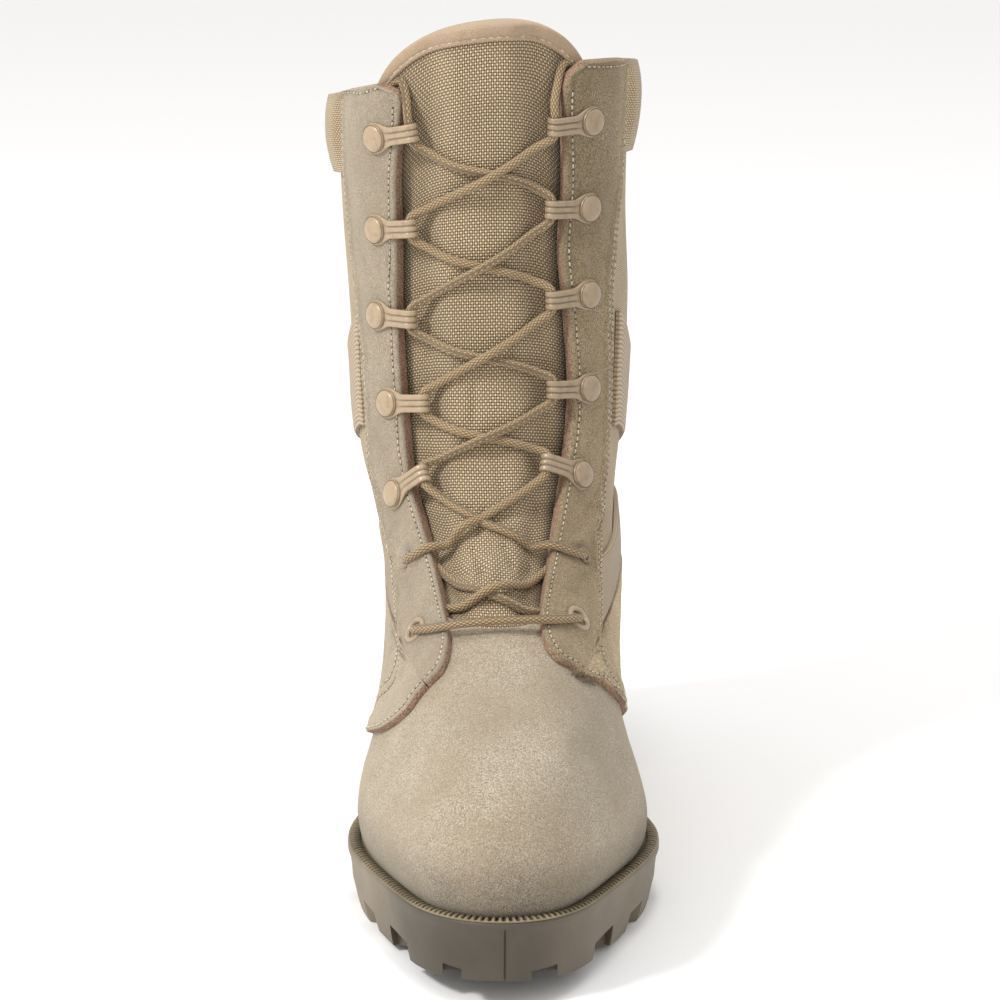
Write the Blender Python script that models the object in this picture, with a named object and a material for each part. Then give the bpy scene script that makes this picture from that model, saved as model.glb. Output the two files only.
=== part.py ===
"""Desert jungle boot for the right foot, empty and standing on its sole.

Metres, +Z up. The toe points to -Y and the inner side of the foot is +X.
The origin is on the floor under the middle of the heel.

The upper is a stack of rings, from the feather line where it meets the sole up to the
collar. A ring is walked by an angle in degrees: 0 at the front, 90 at the inner side,
180 at the heel and -90 at the outer side. Every other piece of the upper is cut from
the same rings, lifted off them along the surface normal.
"""
import math

import bmesh
import bpy
from mathutils import Vector

# Last and upper
LAST_LENGTH = 0.291          # feather line, heel to toe
HEEL_BACK = 0.0365           # feather line's back end, behind the origin
BALL_HALF = 0.050            # half the last's width at the ball
COLLAR_HEIGHT = 0.288        # floor to the collar beside the throat
UPPER_WALL = 0.0022
FIT_GAP = 0.0003             # between pieces that touch
LAY_GAP = 0.0008             # between curved pieces laid on each other, both cut into flats

# Sole
HEEL_SEAT = 0.0380           # floor to the top of the sole under the heel
FOREFOOT_SOLE = 0.0222       # the same at the ball
TOE_SOLE = 0.0197            # thickness of the sole at the toe
TOE_SPRING = 0.010
HEEL_BEVEL = 0.0015          # rise of the tread's last stretch behind the heel
WELT_LEDGE = 0.0055          # sole standing out past the upper
WELT_THICK = 0.0020
WELT_RELIEF = 0.0014         # room between the welt's inner edge and the feather line
SIDE_TAPER = 0.0035          # how far the tread stands in from the welt, except at the toe
ARCH_RISE = 0.013
LUG_DEPTH = 0.0075
TOE_NOTCH_DEPTH = 0.0040
CHANNEL_WIDTH = 0.0090
INSOLE_THICK = 0.0035
INSOLE_CLEAR = 0.0012

# Leather, webbing and padding laid on the upper
FACING_THICK = 0.0022
QUARTER_THICK = 0.0014
COUNTER_THICK = 0.0018
TAPE_THICK = 0.0012
BACKSTAY_WIDTH = 0.026
COLLAR_THICK = 0.0042
TONGUE_THICK = 0.0060
TONGUE_SLACK = 0.0010        # how much more loosely the tongue lies above the vamp
TONGUE_SWELL = 0.0016        # how far the tongue rises into the open throat

# Speed lacing
HOOK_BASE_RADIUS = 0.0064
HOOK_STRAP_WIDTH = 0.0066
HOOK_METAL = 0.0008
HOOK_REACH = 0.0155          # rivet centre to the centre of the lace loop
HOOK_KNEE = 0.0085           # rivet centre to the strap's bend
HOOK_BEND = 12.0             # degrees that the strap turns down to the tongue
RIVET_RADIUS = 0.0050
RIVET_HEIGHT = 0.0013
EYELET_RADIUS = 0.0054
EYELET_HOLE = 0.0030
EYELET_HEIGHT = 0.0011
LACE_RADIUS = 0.0016
LACE_CLEAR = 0.0004          # lace to the hook that it runs through
LACE_CLIMB = 6.0             # degrees before the throat's edge where the lace rises onto it

# Rings of the upper, a row for each, from the feather line up.
# rise_back, rise_front: height at the heel and at the front, as a share of the way from
#   the sole to the collar.
# back, front: how far the ring stands behind the feather line's heel, and how far its
#   front lies behind the toe, as shares of LAST_LENGTH.
# follow: how much of the sole's own curve the ring keeps.
# square: how square the ring's two ends are.
# lean, tilt: sideways shift, and rise of the inner side, as shares of BALL_HALF.
# Then the half widths at the heel, waist, ball and toe, inner side and outer side, as
#   shares of BALL_HALF.
RING_COLUMNS = (
    "rise_back", "rise_front", "back", "front", "follow", "square", "lean", "tilt",
    "in_heel", "in_waist", "in_ball", "in_toe",
    "out_heel", "out_waist", "out_ball", "out_toe",
)
RINGS = (
    (0.000, 0.000, 0.000, 0.000, 1.00, 1.00, 0.00, 0.00, 0.65, 0.60, 1.01, 0.52, 0.65, 0.68, 0.99, 0.53),
    (0.045, 0.042, 0.007, -0.007, 1.00, 1.00, 0.00, 0.00, 0.70, 0.64, 1.03, 0.61, 0.70, 0.72, 1.03, 0.61),
    (0.085, 0.080, 0.010, -0.005, 0.90, 1.00, 0.00, 0.00, 0.72, 0.72, 0.99, 0.62, 0.72, 0.77, 1.01, 0.62),
    (0.125, 0.114, 0.012, 0.010, 0.75, 1.00, 0.00, 0.00, 0.73, 0.79, 0.91, 0.56, 0.73, 0.81, 0.94, 0.56),
    (0.165, 0.148, 0.009, 0.041, 0.55, 1.00, 0.00, 0.00, 0.73, 0.83, 0.83, 0.49, 0.73, 0.83, 0.86, 0.49),
    (0.205, 0.179, 0.002, 0.103, 0.35, 1.00, 0.00, 0.00, 0.74, 0.86, 0.76, 0.43, 0.74, 0.84, 0.78, 0.44),
    (0.245, 0.211, -0.007, 0.206, 0.20, 0.90, -0.01, 0.00, 0.76, 0.88, 0.74, 0.39, 0.74, 0.84, 0.75, 0.39),
    (0.285, 0.250, -0.015, 0.309, 0.10, 0.80, -0.03, 0.00, 0.78, 0.90, 0.79, 0.40, 0.73, 0.84, 0.76, 0.39),
    (0.325, 0.292, -0.024, 0.395, 0.00, 0.70, -0.06, 0.00, 0.80, 0.92, 0.85, 0.44, 0.72, 0.86, 0.78, 0.42),
    (0.375, 0.350, -0.031, 0.474, 0.00, 0.55, -0.09, 0.00, 0.81, 0.97, 0.90, 0.50, 0.73, 0.95, 0.84, 0.48),
    (0.440, 0.427, -0.034, 0.529, 0.00, 0.45, -0.11, 0.00, 0.81, 1.03, 0.94, 0.57, 0.73, 1.00, 0.90, 0.55),
    (0.520, 0.530, -0.033, 0.560, 0.00, 0.35, -0.12, 0.00, 0.81, 1.07, 0.97, 0.61, 0.73, 1.02, 0.93, 0.59),
    (0.630, 0.658, -0.026, 0.577, 0.00, 0.30, -0.13, 0.02, 0.81, 1.10, 1.00, 0.63, 0.74, 1.05, 0.94, 0.60),
    (0.750, 0.797, -0.019, 0.584, 0.00, 0.25, -0.14, 0.06, 0.80, 1.08, 1.01, 0.64, 0.75, 1.08, 0.96, 0.61),
    (0.920, 1.000, -0.012, 0.577, 0.00, 0.20, -0.14, 0.13, 0.82, 1.10, 1.03, 0.66, 0.78, 1.11, 1.00, 0.65),
    (1.000, 1.100, -0.007, 0.570, 0.00, 0.20, -0.14, 0.13, 0.83, 1.12, 1.04, 0.67, 0.80, 1.13, 1.01, 0.66),
)
STATIONS = (0.14, 0.42, 0.66, 0.92)     # heel, waist, ball and toe along a ring, heel to toe
COLLAR = 14.0                # ring at the collar; the one above it is for the tongue alone
VAMP_TOP = 7.50              # ring where the throat ends at the vamp
ABOVE_WELT = 0.38            # ring where what is laid on the upper starts, clear of the welt

# Outlines on the rings. Each row is (ring, angle in degrees), the angle counted from the front.
# The facing's front edge is the derby seam on the vamp, then the edge of the throat.
FACING_FRONT_INNER = ((0.0, 88.0), (2.0, 82.0), (3.3, 74.0), (4.3, 65.3), (5.2, 56.6), (5.8, 48.6),
                      (6.15, 43.0), (6.5, 33.5), (6.9, 26.0), (7.4, 23.0), (8.1, 25.8), (8.7, 28.7),
                      (10.0, 31.9), (11.0, 33.5), (11.9, 30.7), (12.6, 28.0), (13.2, 29.3), (13.75, 28.2),
                      (13.9, 30.0), (14.0, 36.5))
FACING_FRONT_OUTER = ((0.0, 88.0), (2.0, 80.0), (3.2, 69.0), (3.9, 62.2), (4.8, 54.0), (5.4, 48.4),
                      (5.9, 41.2), (6.3, 33.7), (6.65, 28.8), (7.0, 26.6), (7.5, 27.4), (8.7, 29.5),
                      (9.7, 32.8), (11.0, 33.0), (11.9, 34.0), (12.9, 32.7), (13.3, 32.2), (13.75, 29.0),
                      (13.9, 30.5), (14.0, 38.5))
FACING_BACK_INNER = ((5.78, 53.0), (5.95, 60.0), (6.3, 64.8), (7.9, 61.6), (9.3, 61.4), (10.7, 60.5),
                     (12.0, 58.0), (12.7, 61.7), (13.3, 69.0), (14.0, 70.0))
FACING_BACK_OUTER = ((5.78, 50.5), (5.95, 60.0), (6.3, 66.0), (7.9, 65.0), (9.3, 66.5), (10.7, 61.5),
                     (11.5, 62.5), (12.2, 69.0), (13.3, 76.0), (14.0, 72.0))
COUNTER_EDGE = ((0.0, 112.0), (3.0, 118.0), (6.0, 127.0), (8.0, 140.0))
FACING_FOOT = 5.78           # ring where the facing ends on the quarter
QUARTER_TOP = 6.15
LOWER_TAPE = (6.25, 7.95)
COUNTER_TOP = 8.0
COLLAR_BOTTOM = 13.33
# The ankle tape runs back and down. Each row is (angle, lower ring, upper ring).
ANKLE_TAPE = ((70.0, 10.30, 11.80), (90.0, 9.95, 11.40), (115.0, 9.25, 10.65), (140.0, 8.60, 9.85),
              (163.0, 8.25, 9.35))
EDGE_GAP = 1.0               # degrees between two pieces laid side by side
ROW_GAP = 0.05               # rings between a piece's end and the one under it

# Speed hooks, a row for each pair from the top: ring, angle and turn of the strap in
# degrees, first for the outer side, then for the inner side.
HOOKS = (
    (13.58, 39.8, 2.0, 13.57, 39.3, -4.0),
    (12.88, 42.2, 2.0, 12.99, 39.0, 2.0),
    (11.91, 43.6, 0.0, 12.11, 39.3, -2.0),
    (10.89, 39.5, 8.0, 11.07, 40.3, 6.0),
    (9.53, 43.5, 40.0, 9.87, 39.5, 28.0),
)
# Eyelets, a row for each pair from the top: ring and angle, outer side, then inner side.
EYELETS = ((8.23, 48.3, 8.26, 49.0), (6.62, 50.5, 6.94, 47.0))
LOW_CROSS = (8.42, 7.74)     # rings between which the lace crosses under the facings
BAR_RISE = 0.62              # rings by which the lace bar's middle rises onto the vamp's edge

TONGUE_FOOT = 7.05           # ring where the tongue is sewn under the vamp
TONGUE_TOP = 14.52
TONGUE_CORNER = 14.03        # ring at the tongue's two top corners
TONGUE_OVERLAP = (15.0, 11.5)   # degrees that it reaches under the facings, outer and inner
BINDING_DEPTH = 0.20         # rings of the tongue's top covered by its binding

# Channels cut into the tread's edge: share of the sole's length from the toe, turn in
# degrees, and length as a share of BALL_HALF.
TREAD_CHANNELS = ((0.135, 38.0, 0.44), (0.235, 20.0, 0.56), (0.335, 12.0, 0.62), (0.435, 12.0, 0.62),
                  (0.835, -14.0, 0.34), (0.915, -34.0, 0.30))
CENTRE_CHANNELS = (0.185, 0.285, 0.385)   # across the middle of the tread, same shares
TOE_NOTCHES = ((-0.334, 0.125), (0.282, 0.172))   # sideways place and width, same shares

SUEDE = (0.56, 0.47, 0.36)
NYLON = (0.45, 0.34, 0.22)
RUBBER = (0.22, 0.18, 0.13)
CORD = (0.36, 0.28, 0.17)
PAINT = (0.56, 0.44, 0.31)
LINING = (0.30, 0.22, 0.15)


def blend_row(rows, place):
    """The table's row at a place between two rows, on a smooth curve through them."""
    last = len(rows) - 1
    place = min(max(place, 0.0), float(last))
    i = min(int(place), last - 1)
    s = place - i
    before, start, end, after = rows[max(i - 1, 0)], rows[i], rows[i + 1], rows[min(i + 2, last)]
    h = (-0.5 * s + s * s - 0.5 * s ** 3, 1 - 2.5 * s * s + 1.5 * s ** 3,
         0.5 * s + 2 * s * s - 1.5 * s ** 3, -0.5 * s * s + 0.5 * s ** 3)
    return [h[0] * a + h[1] * b + h[2] * c + h[3] * d for a, b, c, d in zip(before, start, end, after)]


def along(rows, place):
    """A value read from rows of (place, value), smooth through the rows and flat past them."""
    if place <= rows[0][0]:
        return rows[0][1]
    if place >= rows[-1][0]:
        return rows[-1][1]
    i = max(k for k in range(len(rows) - 1) if rows[k][0] <= place)

    def slope(k):
        if k == 0 or k == len(rows) - 1:
            return 0.0
        return (rows[k + 1][1] - rows[k - 1][1]) / (rows[k + 1][0] - rows[k - 1][0])

    (x0, y0), (x1, y1) = rows[i], rows[i + 1]
    s = (place - x0) / (x1 - x0)
    bend = s * (1 - s) * (x1 - x0)
    return y0 + (y1 - y0) * s * s * (3 - 2 * s) + bend * ((1 - s) * slope(i) - s * slope(i + 1))


def ring_at(v):
    return dict(zip(RING_COLUMNS, blend_row(RINGS, v)))


def round_end(angle, square):
    """Half width of a ring with straight sides: 0 at both ends and about 1 between them."""
    return math.sin(angle) * math.sqrt(1 + square * math.cos(angle) ** 2)


def sole_top(y):
    """Height of the sole's upper face: level under the heel, down to the ball, up at the toe."""
    breast = HEEL_BACK - 0.24 * LAST_LENGTH
    ball = HEEL_BACK - 0.60 * LAST_LENGTH
    toe = HEEL_BACK - LAST_LENGTH
    drop = min(max((breast - y) / (breast - ball), 0.0), 1.0)
    drop = drop * drop * (3 - 2 * drop)
    lift = TOE_SPRING + TOE_SOLE - FOREFOOT_SOLE
    return HEEL_SEAT + (FOREFOOT_SOLE - HEEL_SEAT) * drop + toe_lift(y, ball, toe, lift)


def toe_lift(y, start, toe, lift):
    past = max((start - y) / (start - toe), 0.0)
    return lift * past * past


def ring_point(angle, v):
    """A point of the upper's outer face, before any lift."""
    ring = ring_at(v)
    turn = math.radians(abs(angle))
    side = "in_" if angle >= 0 else "out_"
    share = (1 + math.cos(turn)) / 2
    back = HEEL_BACK + ring["back"] * LAST_LENGTH
    front = HEEL_BACK - LAST_LENGTH + ring["front"] * LAST_LENGTH
    y = back + (front - back) * share
    widths = []
    for station, name in zip(STATIONS, ("heel", "waist", "ball", "toe")):
        at = math.acos(2 * station - 1)
        widths.append((station, ring[side + name] / round_end(at, ring["square"])))
    half = BALL_HALF * along(widths, share) * round_end(turn, ring["square"])
    x = BALL_HALF * ring["lean"] + math.copysign(half, angle)
    toe_y = HEEL_BACK - LAST_LENGTH
    heel_z = HEEL_SEAT + ring["rise_back"] * (COLLAR_HEIGHT - HEEL_SEAT)
    toe_z = sole_top(toe_y) + ring["rise_front"] * (COLLAR_HEIGHT - sole_top(toe_y))
    chord = sole_top(HEEL_BACK) + (sole_top(toe_y) - sole_top(HEEL_BACK)) * share
    z = heel_z + (toe_z - heel_z) * share + ring["follow"] * (sole_top(y) - chord)
    z += BALL_HALF * ring["tilt"] * math.copysign(math.sin(turn), angle)
    return Vector((x, y, z + 2 * FIT_GAP))


def place_of(point, angle, v):
    """Angle and ring of the surface under a point, searched from a first guess."""
    for _ in range(8):
        at = upper_point(angle, v)
        gap = point - at
        turn, rise = upper_point(angle + 1.0, v) - at, upper_point(angle, v + 0.05) - at
        tt, tr, rr = turn.dot(turn), turn.dot(rise), rise.dot(rise)
        gt, gr = gap.dot(turn), gap.dot(rise)
        whole = tt * rr - tr * tr
        angle += min(max((gt * rr - gr * tr) / whole, -8.0), 8.0)
        v += 0.05 * min(max((gr * tt - gt * tr) / whole, -10.0), 10.0)
    return angle, v


def upper_point(angle, v, lift=0.0):
    """A point lifted off the upper's outer face along its normal."""
    angle = (angle + 180.0) % 360.0 - 180.0
    at = ring_point(angle, v)
    step, rise = 0.5, 0.04
    low, high = max(v - rise, 0.0), min(v + rise, len(RINGS) - 1.0)
    around = ring_point(min(angle + step, 180.0), v) - ring_point(max(angle - step, -180.0), v)
    if abs(angle) > 179.0:
        around = Vector((-1, 0, 0))
    up = ring_point(angle, high) - ring_point(angle, low)
    return at + around.cross(up).normalized() * lift


def facing_front(side, v):
    """Angle of the facing's front edge on a ring, side 1 for the inner side and -1 for the outer."""
    return side * along(FACING_FRONT_INNER if side > 0 else FACING_FRONT_OUTER, v)


def facing_back(side, v):
    return side * along(FACING_BACK_INNER if side > 0 else FACING_BACK_OUTER, v)


def new_material(name, colour, roughness, metallic=0.0):
    material = bpy.data.materials.new(name)
    material.use_nodes = True
    shader = material.node_tree.nodes["Principled BSDF"]
    shader.inputs["Base Color"].default_value = (*colour, 1.0)
    shader.inputs["Roughness"].default_value = roughness
    shader.inputs["Metallic"].default_value = metallic
    return material


def add_object(name, mesh, material, sharp=40.0):
    mesh.materials.append(material)
    mesh.shade_smooth()
    mesh.set_sharp_from_angle(angle=math.radians(sharp))
    obj = bpy.data.objects.new(name, mesh)
    bpy.context.scene.collection.objects.link(obj)
    return obj


def mesh_from(name, points, faces):
    """A closed mesh with its faces pointing out."""
    work = bmesh.new()
    made = [work.verts.new(p) for p in points]
    for face in faces:
        work.faces.new([made[i] for i in face])
    bmesh.ops.recalc_face_normals(work, faces=work.faces)
    mesh = bpy.data.meshes.new(name)
    work.to_mesh(mesh)
    work.free()
    return mesh


def sheet_solid(name, outer, inner, wrap=False, keep=None):
    """A wall between two grids of points. keep says which of the grid's cells it has."""
    rows, columns = len(outer), len(outer[0])
    count = columns if wrap else columns - 1
    cells = {(i, j) for i in range(rows - 1) for j in range(count) if keep is None or keep(i, j)}
    index, points, faces = {}, [], []

    def corner(skin, i, j):
        key = (skin, i, j % columns)
        if key not in index:
            index[key] = len(points)
            points.append((outer, inner)[skin][i][j % columns])
        return index[key]

    for i, j in sorted(cells):
        ring = ((i, j), (i, j + 1), (i + 1, j + 1), (i + 1, j))
        faces.append([corner(0, *c) for c in ring])
        faces.append([corner(1, *c) for c in reversed(ring)])
        sides = ((0, (i - 1, j)), (1, (i, j + 1)), (2, (i + 1, j)), (3, (i, j - 1)))
        for side, (a, b) in sides:
            beyond = (a, b % columns) if wrap else (a, b)
            if beyond not in cells:
                p, q = ring[side], ring[(side + 1) % 4]
                faces.append([corner(0, *p), corner(1, *p), corner(1, *q), corner(0, *q)])
    return mesh_from(name, points, faces)


def steps(start, end, count):
    return [start + (end - start) * i / count for i in range(count + 1)]


LOW_RINGS = steps(0.0, 6.0, 9)     # rows shared by the upper and what is laid on its lower part


def round_body(first, last, count):
    """Angles from one throat edge round the heel to the other, closer together at the sides."""
    shares = steps(0.0, 1.0, count)
    return [first + (last - first) * (s + 0.3 * math.sin(4 * math.pi * s) / (4 * math.pi)) for s in shares]


def laid_on(name, rings, edges, thick, columns):
    """A piece laid on the upper: edges gives its first and last angle on each ring."""
    outer, inner = [], []
    for v in rings:
        first, last = edges(v)
        angles = steps(first, last, columns)
        inner.append([upper_point(a, v, LAY_GAP) for a in angles])
        outer.append([upper_point(a, v, LAY_GAP + thick) for a in angles])
    return sheet_solid(name, outer, inner)


def make_upper(suede):
    """One hollow wall, open at the collar, along the throat and underneath."""
    rings = LOW_RINGS + steps(6, VAMP_TOP, 3)[1:] + [7.9, 8.35] + steps(8.35, 13.3, 6)[1:] + [13.75, COLLAR]
    throat_columns, body_columns = 6, 33
    outer, inner = [], []
    for v in rings:
        left, right = facing_front(-1, v), facing_front(1, v)
        if v < VAMP_TOP:
            left, right = facing_front(-1, VAMP_TOP), facing_front(1, VAMP_TOP)
        angles = steps(left, right, throat_columns) + round_body(right, 360.0 + left, body_columns)[1:-1]
        outer.append([upper_point(a, v) for a in angles])
        inner.append([upper_point(a, v, -UPPER_WALL) for a in angles])
    vamp_row = rings.index(VAMP_TOP)
    mesh = sheet_solid("upper", outer, inner, wrap=True,
                       keep=lambda i, j: i < vamp_row or j >= throat_columns)
    return add_object("upper", mesh, suede)


def make_facings(suede):
    """Leather strips along both sides of the throat, from the collar onto the vamp."""
    rings = [FACING_FOOT, 5.95, 6.3, 6.65, 7.0, 7.5] + [7.9, 8.35] + steps(8.35, 13.3, 6)[1:] + [13.75, COLLAR]
    for name, side in (("facing_inner", 1), ("facing_outer", -1)):
        mesh = laid_on(name, rings, lambda v: (facing_front(side, v), facing_back(side, v)),
                       FACING_THICK, 4)
        add_object(name, mesh, suede)


def make_quarters(suede):
    """Lower leather of the quarters, from the derby seam back to the counter."""
    rings = [ABOVE_WELT] + LOW_RINGS[1:-1] + [FACING_FOOT - ROW_GAP, FACING_FOOT, 5.95, QUARTER_TOP]

    def edges(v, side):
        front = facing_front(side, v) if v < FACING_FOOT else facing_back(side, v) + side * EDGE_GAP
        return front, side * (along(COUNTER_EDGE, v) - EDGE_GAP)

    for name, side in (("quarter_inner", 1), ("quarter_outer", -1)):
        add_object(name, laid_on(name, rings, lambda v: edges(v, side), QUARTER_THICK, 12), suede)


def make_counter(suede):
    mesh = laid_on("heel_counter", [ABOVE_WELT] + LOW_RINGS[1:] + [6.67, 7.33, COUNTER_TOP],
                   lambda v: (along(COUNTER_EDGE, v), 360.0 - along(COUNTER_EDGE, v)),
                   COUNTER_THICK, 12)
    add_object("heel_counter", mesh, suede)


def backstay_edge(v):
    """Angle of the backstay's edge on a ring, from its width."""
    angle = 179.0
    while abs(upper_point(angle, v).x - BALL_HALF * ring_at(v)["lean"]) < BACKSTAY_WIDTH / 2:
        angle -= 0.5
    return angle


def make_webbing(nylon):
    """Lower tapes, ankle tapes and the backstay, all sewn to the nylon of the shaft."""
    for name, side in (("lower_tape_inner", 1), ("lower_tape_outer", -1)):
        mesh = laid_on(name, steps(*LOWER_TAPE, 5),
                       lambda v: (facing_back(side, v) + side * EDGE_GAP,
                                  side * (along(COUNTER_EDGE, v) - EDGE_GAP)),
                       TAPE_THICK, 9)
        add_object(name, mesh, nylon)
    low = [(a, low) for a, low, high in ANKLE_TAPE]
    high = [(a, high) for a, low, high in ANKLE_TAPE]
    for name, side in (("ankle_tape_inner", 1), ("ankle_tape_outer", -1)):
        outer, inner = [], []
        for angle in steps(ANKLE_TAPE[0][0], ANKLE_TAPE[-1][0], 10):
            rings = steps(along(low, angle), along(high, angle), 3)
            inner.append([upper_point(side * angle, v, LAY_GAP) for v in rings])
            outer.append([upper_point(side * angle, v, LAY_GAP + TAPE_THICK) for v in rings])
        add_object(name, sheet_solid(name, outer, inner), nylon)
    rings = steps(COUNTER_TOP + 0.12, COLLAR_BOTTOM - 0.1, 9)
    mesh = laid_on("backstay", rings, lambda v: (backstay_edge(v), 360.0 - backstay_edge(v)),
                   TAPE_THICK, 4)
    add_object("backstay", mesh, nylon)


def make_collar(nylon):
    """Padded cuff round the top of the shaft, from one facing to the other."""
    rings = steps(COLLAR_BOTTOM, COLLAR, 4)
    outer, inner = [], []
    for share, v in zip(steps(0.0, 1.0, 4), rings):
        swell = 0.30 + 0.70 * math.sin(math.pi * (0.08 + 0.80 * share))
        angles = steps(facing_back(1, v) + EDGE_GAP, 360.0 + facing_back(-1, v) - EDGE_GAP, 20)
        inner.append([upper_point(a, v, LAY_GAP) for a in angles])
        outer.append([upper_point(a, v, LAY_GAP + COLLAR_THICK * swell) for a in angles])
    add_object("collar", sheet_solid("collar", outer, inner), nylon)


def throat_edge(angle, v):
    """How far the open throat reaches on this side of a ring, in degrees."""
    return abs(facing_front(1 if angle >= 0 else -1, min(v, 13.7)))


def tongue_lift(angle, v):
    """Lift of the tongue's face: under the wall at its edges, swelling in the open throat."""
    start = min(max((v - VAMP_TOP) / 0.6, 0.0), 1.0)
    edge = throat_edge(angle, v)
    free = min(max((edge - 8.0 - abs(angle)) / (0.45 * edge), 0.0), 1.0)
    rise = (UPPER_WALL + TONGUE_SLACK + TONGUE_SWELL) * free * free * (3 - 2 * free)
    return -UPPER_WALL - LAY_GAP + (rise - TONGUE_SLACK) * start


def tongue_grid(start, end, rows, columns, extra):
    """Both faces of the tongue between two shares of its depth, 1 at its rounded top edge.

    start and end give the ring for a place across the tongue, from -1 to 1.
    """
    outer, inner = [], []
    for i in range(rows + 1):
        line_out, line_in = [], []
        for j in range(columns + 1):
            across = 2 * j / columns - 1
            v = start(across) + (end(across) - start(across)) * i / rows
            angle = across * (throat_edge(across, v) + TONGUE_OVERLAP[0 if across < 0 else 1])
            line_out.append(upper_point(angle, v, tongue_lift(angle, v) + extra))
            line_in.append(upper_point(angle, v, -UPPER_WALL - LAY_GAP - TONGUE_THICK - extra))
        outer.append(line_out)
        inner.append(line_in)
    return outer, inner


def tongue_top(across):
    return TONGUE_TOP - (TONGUE_TOP - TONGUE_CORNER) * abs(across) ** 2.4


def make_tongue(nylon, suede):
    """Padded nylon tongue, with a leather binding over its top edge."""
    outer, inner = tongue_grid(lambda across: TONGUE_FOOT, lambda across: tongue_top(across) - BINDING_DEPTH,
                               15, 8, 0.0)
    add_object("tongue", sheet_solid("tongue", outer, inner), nylon)
    outer, inner = tongue_grid(lambda across: tongue_top(across) - BINDING_DEPTH + 0.03, tongue_top,
                               2, 8, 0.0005)
    add_object("tongue_binding", sheet_solid("tongue_binding", outer, inner), suede)


def feather_outline(angles, grow, taper=0.0):
    """Plan of the last's bottom edge, moved out by grow, less a taper that fades at the toe."""
    plan = []
    for angle in angles:
        at = ring_point(angle, 0.0)
        ahead, behind = ring_point(min(angle + 1.0, 180.0), 0.0), ring_point(max(angle - 1.0, -180.0), 0.0)
        tangent = ahead - behind
        if abs(angle) > 178.9:
            tangent = Vector((-1, 0, 0))
        out = Vector((tangent.y, -tangent.x, 0)).normalized()
        faded = taper * min(1.6 * math.sin(math.radians(min(abs(angle), 90.0))) ** 2, 1.0)
        plan.append(Vector((at.x, at.y, 0)) + out * (grow - faded))
    return plan


def tread_bottom(y):
    """Height of the tread: level under heel and forefoot, lifted at the toe and the heel's back."""
    toe = HEEL_BACK - LAST_LENGTH - WELT_LEDGE
    lift_starts = HEEL_BACK - 0.70 * LAST_LENGTH
    heel_lift = max((y - 0.6 * HEEL_BACK) / (0.5 * HEEL_BACK), 0.0)
    return toe_lift(y, lift_starts, toe, TOE_SPRING) + HEEL_BEVEL * min(heel_lift, 1.0)


def slab_mesh(name, top, bottom, top_z, bottom_z, middle=()):
    """A solid between two outlines that run from the toe round the inner side and back."""
    count = len(top)
    half = count // 2
    loops = [[Vector((p.x, p.y, bottom_z(p.y))) for p in bottom]]
    loops += [list(m) for m in middle]
    loops.append([Vector((p.x, p.y, top_z(p.y))) for p in top])
    points = [p for loop in loops for p in loop]
    faces = []
    for level in range(len(loops) - 1):
        low, high = level * count, (level + 1) * count
        faces += [[low + j, low + (j + 1) % count, high + (j + 1) % count, high + j] for j in range(count)]
    for start in (0, (len(loops) - 1) * count):
        for j in range(half):
            a, b = j, j + 1
            c, d = (count - b) % count, (count - a) % count
            corners = [a, b, c, d]
            faces.append([start + k for i, k in enumerate(corners) if k not in corners[:i]])
    return mesh_from(name, points, faces)


def box_at(work, centre, turn, size):
    """Adds a box to a bmesh, turned about Z."""
    made = bmesh.ops.create_cube(work, size=1.0)["verts"]
    bmesh.ops.scale(work, vec=size, verts=made)
    cosine, sine = math.cos(turn), math.sin(turn)
    for vert in made:
        x, y, z = vert.co
        vert.co = (centre[0] + x * cosine - y * sine, centre[1] + x * sine + y * cosine, centre[2] + z)


def tread_cutter():
    """Channels between the lugs: in from both edges, across the middle and at the toe."""
    work = bmesh.new()
    length = LAST_LENGTH + 2 * WELT_LEDGE
    toe = HEEL_BACK + WELT_LEDGE - length
    for share, turn, reach in TREAD_CHANNELS:
        y = toe + share * length
        floor = tread_bottom(y)
        for side in (1, -1):
            edge = edge_at(y, side)
            size = reach * BALL_HALF
            angle = side * math.radians(turn)
            inward = (edge - side * math.cos(angle) * (size / 2 - 0.2 * size),
                      y - math.sin(angle) * side * (size / 2 - 0.2 * size))
            box_at(work, (inward[0], inward[1], floor), angle, (1.4 * size, CHANNEL_WIDTH, 2 * LUG_DEPTH))
    for share in CENTRE_CHANNELS:
        y = toe + share * length
        box_at(work, (0, y, tread_bottom(y)), 0.0, (0.5 * BALL_HALF, CHANNEL_WIDTH, 2 * LUG_DEPTH))
    for share, width in TOE_NOTCHES:
        y = toe + 0.12 * BALL_HALF
        box_at(work, (share * BALL_HALF, y, tread_bottom(y)), 0.0,
               (width * BALL_HALF, 0.5 * BALL_HALF, 2 * TOE_NOTCH_DEPTH))
    mesh = bpy.data.meshes.new("tread_cutter")
    work.to_mesh(mesh)
    work.free()
    return mesh


def edge_at(y, side):
    """Sideways place of the tread's edge at y."""
    share = min(max((HEEL_BACK - y) / LAST_LENGTH, 0.0), 1.0)
    angle = math.degrees(math.acos(2 * share - 1))
    return ring_point(side * angle, 0.0).x + side * (WELT_LEDGE - SIDE_TAPER)


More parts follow.
